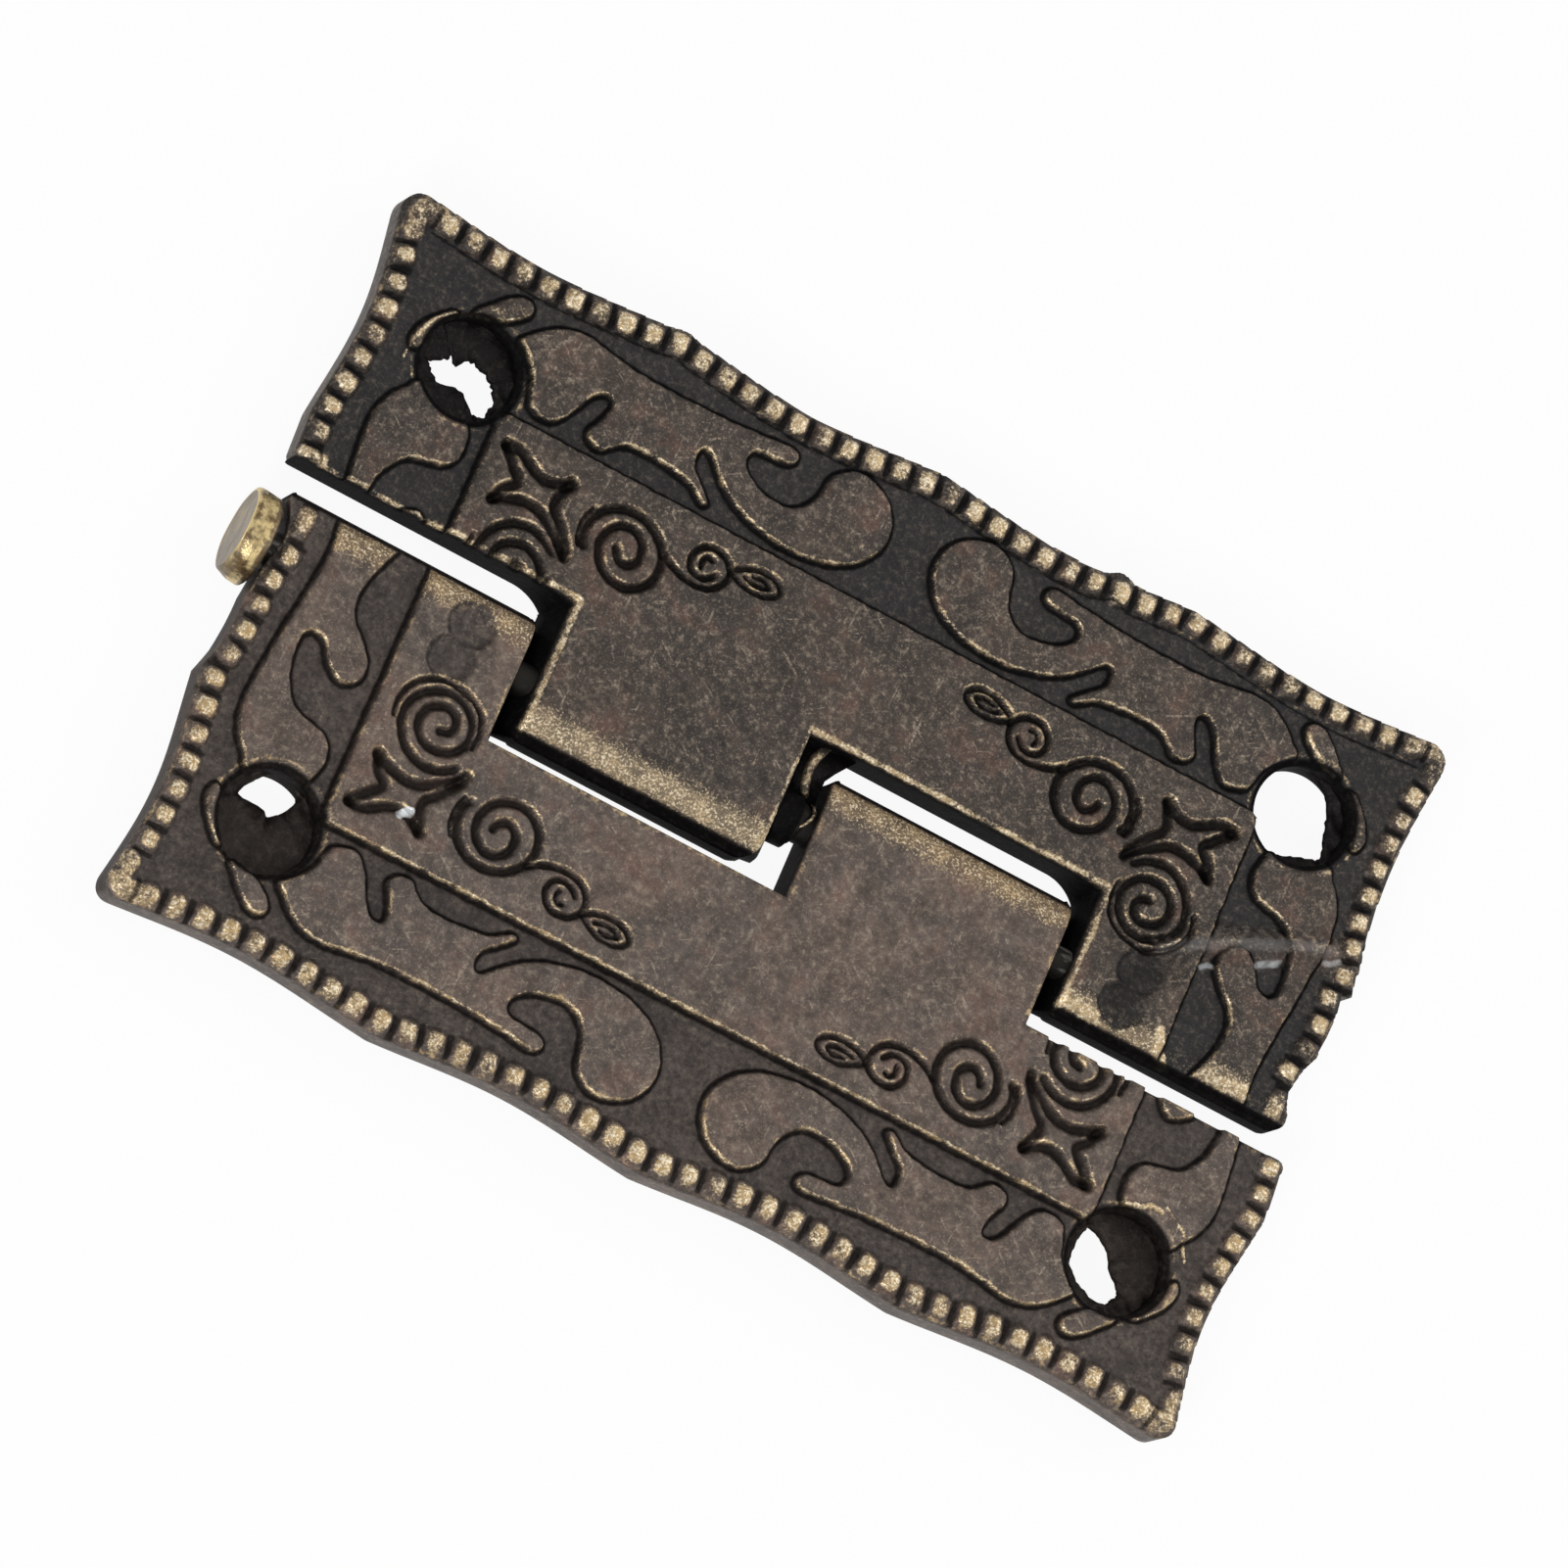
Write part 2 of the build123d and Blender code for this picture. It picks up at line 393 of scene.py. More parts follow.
@dataclass
class LeafPlan:
    """Outline of a leaf, its knuckles and screw holes, in the lower leaf's own place."""

    left: ShortEdge
    right: ShortEdge
    notches: tuple[Notch, Notch]
    corner: Point = (26.6, 17.05)
    left_lift: float = 0.0
    right_lift: float = 0.0
    wall_feet: Point = (0.45, 0.45)
    wall_level: float = 0.95
    left_shade: float = 0.0
    corner_round: float = 1.1
    long_cusp: float = 12.9
    long_dip: float = 0.52
    knuckle_reach: float = 2.5
    outer_reach: float = 2.5
    barrel_radius: float = 1.35
    knuckle_corner: float = 0.4
    nubs: tuple[Point, ...] = ()
    hole: Point = (21.0, 10.9)
    hole_radius: float = 2.25
    nub_width: float = 0.55
    lip_round: float = 0.18
    rim_level: float = 1.88
    rim_slope: Point = (0.15, 0.6)
    knuckle_start: float = 1.4
    back_dirt: float = 0.15
    wall_dark: float = 0.12
    hole_wall_dark: float = 0.9
    tip_foot: float = 0.5
    slot_foot: float = 0.1
    tip_bevel: float = 0.32
    slot_bevel: float = 0.02
    edge_bevel: float = 0.4

    def long_edge(self, x: Array) -> Array:
        """Distance of the long scalloped edge from the pin, along the leaf."""
        a = np.abs(x)
        inner = a < self.long_cusp
        t = np.where(inner, a / self.long_cusp, (a - self.long_cusp) / (self.corner[0] - self.long_cusp))
        t = np.clip(t, 0.0, 1.0)
        sag = 0.5 * (4 * t * (1 - t)) + 0.5 * (0.5 - 0.5 * np.cos(2 * np.pi * t))
        lift = self.left_lift * ease(4.0, 20.0, -x) + self.right_lift * ease(4.0, 20.0, x)
        bumps = np.zeros(a.shape)
        for place, tall in self.nubs:
            bumps = bumps + tall * bump_at(x, place, self.nub_width)
        return self.corner[1] - self.long_dip * sag - lift + bumps

    def edge_depth(self, x: Array, y: Array) -> Array:
        """Signed distance to the outside edge, positive on the leaf, with rounded corners."""
        low = y + self.long_edge(x)
        left = x + self.left.reach(y, self.corner[1])
        right = self.right.reach(y, self.corner[1]) - x
        depth = self.round_corner(low, left, self.corner_round)
        depth = self.round_corner(depth, right, self.corner_round)
        return self.round_corner(depth, self.tip(x) - y, 0.6)

    def tip(self, x: Array) -> Array:
        """How far the knuckles reach over the pin."""
        return np.where(x < -7.0, self.outer_reach, self.knuckle_reach)

    def notch_depth(self, x: Array, y: Array) -> Array:
        """Signed distance to the notches, positive on the leaf."""
        depth = np.full(x.shape, 1e3)
        for notch in self.notches:
            out = np.minimum(np.minimum(x - notch.start, notch.end - x), y + notch.edge)
            beside = np.maximum(notch.start - x, 0) + np.maximum(x - notch.end, 0)
            corner = np.hypot(beside, np.maximum(-notch.edge - y, 0))
            depth = np.minimum(depth, np.where(out > 0, -out, corner))
        return depth

    def outer_depth(self, x: Array, y: Array) -> Array:
        """Signed distance to the outside edge and the notches, with their corners eased."""
        radius = np.where(np.abs(x) < 7.0, self.knuckle_corner, 0.3)
        return self.round_corner(self.edge_depth(x, y), self.notch_depth(x, y), radius)

    def depth(self, x: Array, y: Array) -> Array:
        """Signed distance to the whole boundary, positive on the leaf."""
        return np.minimum(self.outer_depth(x, y), self.hole_depth(x, y))

    def root(self, x: Array, y: Array) -> tuple[Array, Array]:
        """How far places on the notch walls spread out towards the back.

        Args:
            x: x of the places on the walls.
            y: y of the places on the walls.

        Returns:
            The moves along x and along y, which round the inner corners and flare the sides.
        """
        move_x, move_y = np.zeros(x.shape), np.zeros(x.shape)
        for notch in self.notches:
            sides = ((notch.start, 1.0), (notch.end, -1.0))
            for (corner, way), reach, flare in zip(sides, notch.rounds, notch.flares):
                along, up = (x - corner) * way, y + notch.edge
                wall = (np.abs(along) < 0.06) & (up > -0.06)
                side = wall & (up < reach)
                foot = (np.abs(up) < 0.06) & (along > -0.06) & (along < reach)
                part = np.pi / 4 * (1 - np.clip(np.where(side, up, along) / reach, 0.0, 1.0))
                turn = np.where(side, np.pi + part, 1.5 * np.pi - part)
                goal_x = reach * (1 + np.cos(turn)) - along
                goal_y = reach * (1 + np.sin(turn)) - up
                spread = np.where(side | foot, np.maximum(goal_x, flare * side), np.where(wall, flare, 0.0))
                move_x = np.where(side | foot | wall, spread * way, move_x)
                move_y = np.where(side | foot, goal_y, move_y)
        return move_x, move_y

    def hole_depth(self, x: Array, y: Array) -> Array:
        """Signed distance to the screw holes, positive on the leaf."""
        return np.hypot(np.abs(x) - self.hole[0], y + self.hole[1]) - self.hole_radius

    @staticmethod
    def round_corner(a: Array, b: Array, radius: Any) -> Array:
        """Signed distance to the corner between two edges, rounded by a radius."""
        both = (a < radius) & (b < radius)
        rounded = radius - np.hypot(radius - a, radius - b)
        return np.where(both, rounded, np.minimum(a, b))


@dataclass
class Ornament:
    """Scrolls, petals, volutes and beads of a leaf, drawn for its left half."""

    long_scroll: tuple[Point, ...] = (
        (-18.2, -11.0), (-18.0, -10.62), (-17.5, -10.4), (-17.0, -10.4), (-16.6, -10.7), (-16.3, -11.1),
        (-16.0, -11.7), (-15.7, -12.25), (-15.3, -12.62), (-14.9, -12.66), (-14.72, -12.4),
        (-14.8, -11.95), (-15.05, -11.4), (-15.25, -10.95), (-15.1, -10.55), (-14.72, -10.37),
        (-14.3, -10.42), (-13.95, -10.75), (-13.5, -11.05), (-12.8, -11.18), (-11.8, -11.16),
        (-10.9, -11.06), (-10.2, -10.9), (-9.75, -10.6), (-9.4, -10.4), (-9.15, -10.5), (-9.35, -10.8),
        (-9.8, -11.2), (-10.2, -11.55), (-10.42, -11.95), (-10.42, -12.4), (-10.2, -12.62), (-9.85, -12.5),
        (-9.35, -12.0), (-8.8, -11.5), (-8.0, -11.0), (-7.1, -10.68), (-6.1, -10.46), (-5.1, -10.4),
        (-4.1, -10.48), (-3.2, -10.68), (-2.4, -11.05), (-1.75, -11.6), (-1.32, -12.3), (-1.18, -13.0),
        (-1.32, -13.75), (-1.75, -14.4), (-2.4, -14.84), (-3.1, -15.03), (-3.75, -14.98), (-4.3, -14.62),
        (-4.62, -14.1), (-4.75, -13.4), (-4.98, -12.8), (-5.4, -12.32), (-6.05, -12.06), (-6.8, -12.1),
        (-7.5, -12.3), (-8.05, -12.62), (-8.36, -13.05), (-8.28, -13.5), (-7.85, -13.7), (-7.2, -13.74),
        (-6.6, -13.8), (-6.3, -14.05), (-6.32, -14.38), (-6.6, -14.58), (-7.2, -14.56), (-8.2, -14.44),
        (-10.0, -14.3), (-12.0, -14.24), (-14.0, -14.26), (-15.4, -14.42), (-16.4, -14.6), (-17.2, -14.64),
        (-17.9, -14.48), (-18.6, -14.1), (-19.2, -13.55), (-19.6, -13.1), (-19.35, -12.85),
        (-18.8, -12.35), (-18.4, -11.7),
    )
    side_scroll: tuple[Point, ...] = (
        (-22.9, -9.35), (-23.25, -8.85), (-23.7, -8.3), (-24.02, -7.65), (-24.15, -6.9), (-24.13, -6.0),
        (-24.05, -5.0), (-23.95, -4.0), (-23.83, -3.0), (-23.68, -2.0), (-23.54, -1.0), (-23.42, 0.0),
        (-23.38, 1.2), (-23.4, 2.8), (-22.0, 3.2), (-20.6, 2.8), (-20.95, 1.5), (-21.28, 0.6),
        (-21.42, -0.05), (-21.42, -0.65), (-21.28, -1.2), (-20.95, -1.62), (-20.5, -2.06), (-20.12, -2.5),
        (-19.88, -2.95), (-19.85, -3.4), (-20.05, -3.85), (-20.5, -4.12), (-20.95, -4.05), (-21.35, -3.78),
        (-21.68, -3.4), (-21.92, -3.0), (-22.25, -2.75), (-22.65, -2.72), (-22.95, -3.0), (-23.0, -3.5),
        (-22.95, -4.1), (-22.82, -4.7), (-22.55, -5.3), (-22.15, -5.85), (-21.6, -6.18), (-20.95, -6.3),
        (-20.4, -6.48), (-20.02, -6.85), (-19.86, -7.4), (-19.9, -7.95), (-20.1, -8.5), (-20.6, -9.3),
        (-21.8, -9.8),
    )
    crescent: tuple[Point, ...] = (
        (-23.75, -10.5), (-23.45, -10.75), (-23.18, -11.3), (-22.9, -11.85), (-22.6, -12.35),
        (-22.4, -12.8), (-22.75, -12.8), (-23.25, -12.35), (-23.65, -11.85), (-23.92, -11.35),
        (-23.97, -10.9),
    )
    petal: tuple[Point, ...] = (
        (-21.85, -13.12), (-21.4, -13.08), (-20.9, -13.2), (-20.45, -13.45), (-20.0, -13.75),
        (-19.65, -14.1), (-19.55, -14.5), (-19.8, -14.8), (-20.2, -14.8), (-20.6, -14.58), (-21.0, -14.25),
        (-21.42, -13.8), (-21.78, -13.4),
    )
    panel: Point = (19.05, 9.86)
    lower_volute: tuple[Point, ...] = (
        (-12.1, -6.78), (-11.95, -6.5), (-11.65, -6.3), (-11.3, -6.35), (-11.03, -6.65), (-11.0, -7.1),
        (-11.2, -7.55), (-11.65, -7.85), (-12.2, -7.8), (-12.65, -7.42), (-12.87, -6.85), (-12.75, -6.25),
        (-12.35, -5.7), (-11.7, -5.38), (-11.0, -5.38), (-10.4, -5.75), (-10.05, -6.3), (-9.98, -6.95),
        (-10.2, -7.6), (-10.7, -8.12), (-11.35, -8.45), (-12.1, -8.53), (-12.85, -8.3), (-13.4, -7.8),
        (-13.68, -7.1), (-13.62, -6.45), (-13.45, -6.2),
    )
    lower_volute_rim: tuple[Point, ...] = ((-13.72, -6.15), (-13.92, -6.7), (-13.9, -7.35), (-13.7, -7.85))
    upper_volute: tuple[Point, ...] = (
        (-15.9, -4.05), (-15.55, -3.95), (-15.35, -3.6), (-15.5, -3.2), (-15.9, -3.0), (-16.4, -3.1),
        (-16.85, -3.5), (-16.95, -4.05), (-16.7, -4.55), (-16.2, -4.88), (-15.6, -4.9), (-15.0, -4.62),
        (-14.62, -4.1), (-14.6, -3.45), (-14.9, -2.85), (-15.45, -2.45), (-16.15, -2.35), (-16.85, -2.6),
        (-17.4, -3.1), (-17.7, -3.8), (-17.6, -4.5), (-17.2, -5.15), (-16.6, -5.6), (-15.9, -5.76),
        (-15.2, -5.62), (-14.6, -5.25),
    )
    upper_volute_rim: tuple[Point, ...] = (
        (-18.05, -4.3), (-18.12, -3.6), (-17.9, -2.9), (-17.4, -2.35), (-16.7, -2.0), (-15.9, -1.98),
        (-15.1, -2.2), (-14.5, -2.7), (-14.28, -3.4), (-14.3, -4.1),
    )
    tail: tuple[Point, ...] = (
        (-10.0, -7.55), (-9.6, -7.25), (-9.0, -7.06), (-8.4, -6.98), (-7.8, -7.06), (-7.35, -7.35),
        (-7.1, -7.8), (-7.12, -8.25), (-7.4, -8.62), (-7.85, -8.8), (-8.35, -8.78), (-8.75, -8.5),
        (-8.92, -8.05), (-8.8, -7.6), (-8.4, -7.38), (-7.95, -7.45), (-7.62, -7.75),
    )
    tail_eye: tuple[Point, ...] = ((-8.35, -7.8), (-8.42, -8.1), (-8.25, -8.35), (-8.0, -8.3))
    drop: tuple[Point, ...] = (
        (-7.0, -8.32), (-6.5, -8.02), (-5.9, -7.9), (-5.3, -7.95), (-4.85, -8.15), (-4.68, -8.45),
        (-4.9, -8.75), (-5.4, -8.9), (-6.0, -8.86), (-6.55, -8.64),
    )
    drop_eye: tuple[Point, ...] = (
        (-6.4, -8.36), (-5.9, -8.24), (-5.4, -8.3), (-5.2, -8.5), (-5.6, -8.62), (-6.05, -8.55),
    )
    star: tuple[tuple[Point, ...], ...] = (
        ((-17.95, -6.15), (-17.2, -6.5), (-16.4, -6.68), (-15.6, -6.52), (-14.9, -6.05), (-14.05, -5.3)),
        ((-14.1, -5.6), (-14.75, -6.5), (-15.3, -7.1), (-15.25, -7.7), (-14.95, -8.35)),
        ((-18.3, -8.62), (-17.6, -8.6), (-16.9, -8.2), (-16.3, -7.95), (-15.6, -8.05), (-15.0, -8.45)),
        ((-17.9, -6.2), (-17.65, -6.8), (-17.2, -7.3), (-17.6, -7.8), (-18.25, -8.5)),
    )
    pockets: tuple[Point, ...] = ((-16.5, 0.75), (-16.75, -1.0))
    pocket_radii: Point = (1.12, 1.08)
    pocket_depth: float = 0.28
    row_bead: Point = (1.08, 1.34)
    column_bead: Point = (1.06, 1.16)
    row_inset: float = 0.66
    column_inset: float = 0.6
    groove_depth: float = 0.36
    star_depth: float = 0.38
    lip_worn: float = 0.7
    border_line: bool = False
    bead_pitch: float = 1.25
    row_count: int = 20
    column_start: float = -14.0
    column_count: int = 12

    def carve(self, relief: Relief, plan: LeafPlan) -> None:
        """Works the whole ornament into a relief.

        Args:
            relief: the grid that takes the ornament.
            plan: the leaf's edges, which the beads follow.
        """
        x, y = self.panel
        sheet = np.array([(-x, -y), (x, -y), (x, 6.0), (-x, 6.0)])
        relief.raise_shape(sheet, relief.panel_level, 0.84)
        for side in Side:
            self.carve_half(relief, side)
        self.carve_beads(relief, plan)
        turns = np.linspace(0, 2 * np.pi, 40, endpoint=False)
        wide, tall = self.pocket_radii
        ring = np.column_stack([wide * np.cos(turns), tall * np.sin(turns)])
        relief.sink_shape([ring + middle for middle in np.array(self.pockets)], self.pocket_depth)
        if self.border_line:
            x = np.linspace(-24.9, 24.9, 160)
            relief.groove(np.column_stack([x, 1.32 - plan.long_edge(x)]), 0.13, 0.05, 0.4)

    def carve_half(self, relief: Relief, side: Side) -> None:
        """Works the scrolls and engraving of one half of the leaf."""

        def on_side(points: Iterable[Point], closed: bool) -> Array:
            """Smooth line through points, turned to this half."""
            return smooth_line([(px * side.value, py) for px, py in points], closed)

        for shape, worn in (
            (self.long_scroll, 0.78),
            (self.side_scroll, 0.78),
            (self.petal, 0.88),
            (self.crescent, 0.88),
        ):
            relief.raise_shape(on_side(shape, True), relief.scroll_level, worn)
        for line, width in (
            (self.lower_volute, 0.31),
            (self.lower_volute_rim, 0.17),
            (self.upper_volute, 0.31),
            (self.upper_volute_rim, 0.2),
            (self.tail, 0.22),
            (self.tail_eye, 0.16),
            (self.drop_eye, 0.18),
        ):
            relief.groove(on_side(line, False), 1.1 * width, self.groove_depth, self.lip_worn)
        relief.groove(on_side(self.drop, True), 0.22, 0.32, self.lip_worn, True)
        for arm in self.star:
            relief.groove(on_side(arm, False), 0.42, self.star_depth, 0.72)

    def carve_beads(self, relief: Relief, plan: LeafPlan) -> None:
        """Sets the beads along the long edge and both short edges."""
        for i in range(self.row_count):
            place = self.bead_pitch * (i + 0.5)
            edge = plan.long_edge(np.array([place - 0.1, place, place + 0.1]))
            slope = math.atan2(edge[0] - edge[2], 0.2)
            for side in Side:
                centre = (place * side.value, self.row_inset - edge[1])
                self.set_bead(relief, centre, slope * side.value, self.row_bead)
        for side, border in ((Side.LEFT, plan.left), (Side.RIGHT, plan.right)):
            for i in range(self.column_count):
                place = self.column_start + self.bead_pitch * i
                edge = border.reach(np.array([place - 0.1, place, place + 0.1]), plan.corner[1])
                slope = math.atan2(edge[2] - edge[0], 0.2)
                turn = math.pi / 2 + slope * side.value
                centre = ((self.column_inset - edge[1]) * side.value, place)
                self.set_bead(relief, centre, turn, self.column_bead)
            corner = ((25.75, -15.2), (25.85, -15.9), (25.6, -16.3), (24.9, -16.3))
            relief.ridge(smooth_line([(-x * side.value, y) for x, y in corner], False), 1.1, 0.3, 0.62)
        relief.bead((-24.85, 1.35), math.pi / 2, 1.6, 0.85, 0.26, 0.7)

    @staticmethod
    def set_bead(relief: Relief, centre: Point, turn: float, size: Point) -> None:
        """Sets one bead, a little uneven as cast.

        Args:
            relief: the grid that takes it.
            centre: its middle.
            turn: angle of its long direction.
            size: lengths along and over the border.
        """
        along = size[0] * (0.92 + 0.16 * chance(*centre, 1.0))
        across = size[1] * (0.9 + 0.16 * chance(*centre, 2.0))
        tall = 0.32 + 0.12 * chance(*centre, 3.0)
        worn = 0.66 + 0.36 * chance(*centre, 4.0)
        relief.bead(centre, turn + 0.24 * (chance(*centre, 5.0) - 0.5), along, across, tall, worn)


class Wire:
    """A value socket that takes part in Python expressions."""

    def __init__(self, sheet: Sheet, socket: bpy.types.NodeSocket) -> None:
        """Wraps an output socket of a sheet."""
        self.sheet = sheet
        self.socket = socket

    def math(self, operation: str, *values: Any) -> Wire:
        """Result of a Math node over values and wires."""
        node = self.sheet.node("ShaderNodeMath", {"operation": operation}, dict(enumerate(values)))
        return Wire(self.sheet, node.outputs[0])

    def __add__(self, other: Any) -> Wire:
        """Sum."""
        return self.math("ADD", self, other)

    __radd__ = __add__

    def __mul__(self, other: Any) -> Wire:
        """Product."""
        return self.math("MULTIPLY", self, other)

    __rmul__ = __mul__

    def __sub__(self, other: Any) -> Wire:
        """Difference."""
        return self.math("SUBTRACT", self, other)

    def __rsub__(self, other: Any) -> Wire:
        """Difference from a number."""
        return self.math("SUBTRACT", other, self)

    def lowest(self, other: Any) -> Wire:
        """The smaller of two values."""
        return self.math("MINIMUM", self, other)

    def highest(self, other: Any) -> Wire:
        """The larger of two values."""
        return self.math("MAXIMUM", self, other)

    def step(self, low: float, high: float) -> Wire:
        """Smooth step from 0 at low to 1 at high."""
        node = self.sheet.node(
            "ShaderNodeMapRange",
            {"interpolation_type": "SMOOTHSTEP"},
            {"Value": self, "From Min": low, "From Max": high},
        )
        return Wire(self.sheet, node.outputs[0])


class Sheet:
    """Node sheet of a material or of the world."""

    def __init__(self, tree: bpy.types.NodeTree) -> None:
        """Clears a node tree and keeps it."""
        self.tree = tree
        tree.nodes.clear()

    def node(self, kind: str, settings: dict[str, Any], sockets: dict[Any, Any]) -> bpy.types.Node:
        """Adds a node.

        Args:
            kind: type of the node.
            settings: its own settings, set before the sockets.
            sockets: values or links, by socket name or number.

        Returns:
            The new node.
        """
        made = self.tree.nodes.new(kind)
        for name, value in settings.items():
            setattr(made, name, value)
        for name, value in sockets.items():
            if isinstance(value, Wire):
                self.tree.links.new(value.socket, made.inputs[name])
            elif isinstance(value, bpy.types.NodeSocket):
                self.tree.links.new(value, made.inputs[name])
            else:
                made.inputs[name].default_value = value
        return made

    @classmethod
    def of_material(cls, name: str) -> tuple[bpy.types.Material, Sheet]:
        """New material and its cleared sheet."""
        material = bpy.data.materials.new(name)
        material.use_nodes = True
        return material, cls(material.node_tree)

    def surface(self, sockets: dict[str, Any]) -> bpy.types.NodeSocket:
        """Shader of a solid surface."""
        return self.node("ShaderNodeBsdfPrincipled", {}, sockets).outputs[0]

    def blend(self, share: Wire, first: Any, second: Any, output: str = "ShaderNodeOutputMaterial") -> None:
        """Puts out a shader between two shaders.

        Args:
            share: share of the second.
            first: first shader.
            second: second shader.
            output: type of the output node.
        """
        both = self.node("ShaderNodeMixShader", {}, {0: share, 1: first, 2: second})
        self.node(output, {}, {"Surface": both.outputs[0]})

    def seen(self) -> Wire:
        """1 where the backdrop is looked at, straight or through a reflection."""
        path = self.node("ShaderNodeLightPath", {}, {})
        camera, glossy, through = (Wire(self, path.outputs[ray]) for ray in SEEING_RAYS)
        return camera.highest(glossy).highest(through)

    def place(self) -> bpy.types.NodeSocket:
        """Coordinates that stay with the piece, in metres."""
        return self.node("ShaderNodeTexCoord", {}, {}).outputs["Object"]

    def channel(self, channel: Channel) -> Wire:
        """A surface field of the mesh."""
        node = self.node("ShaderNodeAttribute", {"attribute_name": channel.value}, {})
        return Wire(self, node.outputs["Fac"])

    def noise(self, per_mm: float, detail: float, rough: float, long: float = 1.0, turn: float = 0.0) -> Wire:
        """Noise over the piece.

        Args:
            per_mm: grains in a millimetre.
            detail: number of finer layers.
            rough: strength of the finer layers.
            long: how many times longer than wide the grains are.
            turn: direction of their length about the upright axis, in radians.

        Returns:
            The noise value.
        """
        place = self.node(
            "ShaderNodeMapping",
            {"vector_type": "TEXTURE"},
            {"Vector": self.place(), "Rotation": (0.0, 0.0, turn), "Scale": (long, 1.0, 1.0)},
        )
        node = self.node(
            "ShaderNodeTexNoise",
            {},
            {"Vector": place.outputs[0], "Scale": per_mm / MM, "Detail": detail, "Roughness": rough},
        )
        return Wire(self, node.outputs[0])

    def mix(self, first: Any, second: Any, share: Wire) -> bpy.types.NodeSocket:
        """Colour between two colours, each a screen colour or a socket."""
        a, b = (linear(*c) if isinstance(c, tuple) else c for c in (first, second))
        node = self.node("ShaderNodeMix", {"data_type": "RGBA"}, {0: share, 6: a, 7: b})
        return node.outputs[2]

    def bump(self, height: Wire, reach_mm: float, strength: float) -> bpy.types.NodeSocket:
        """Normal of a fine relief."""
        sockets = {"Height": height, "Distance": reach_mm * MM, "Strength": strength}
        return self.node("ShaderNodeBump", {}, sockets).outputs[0]


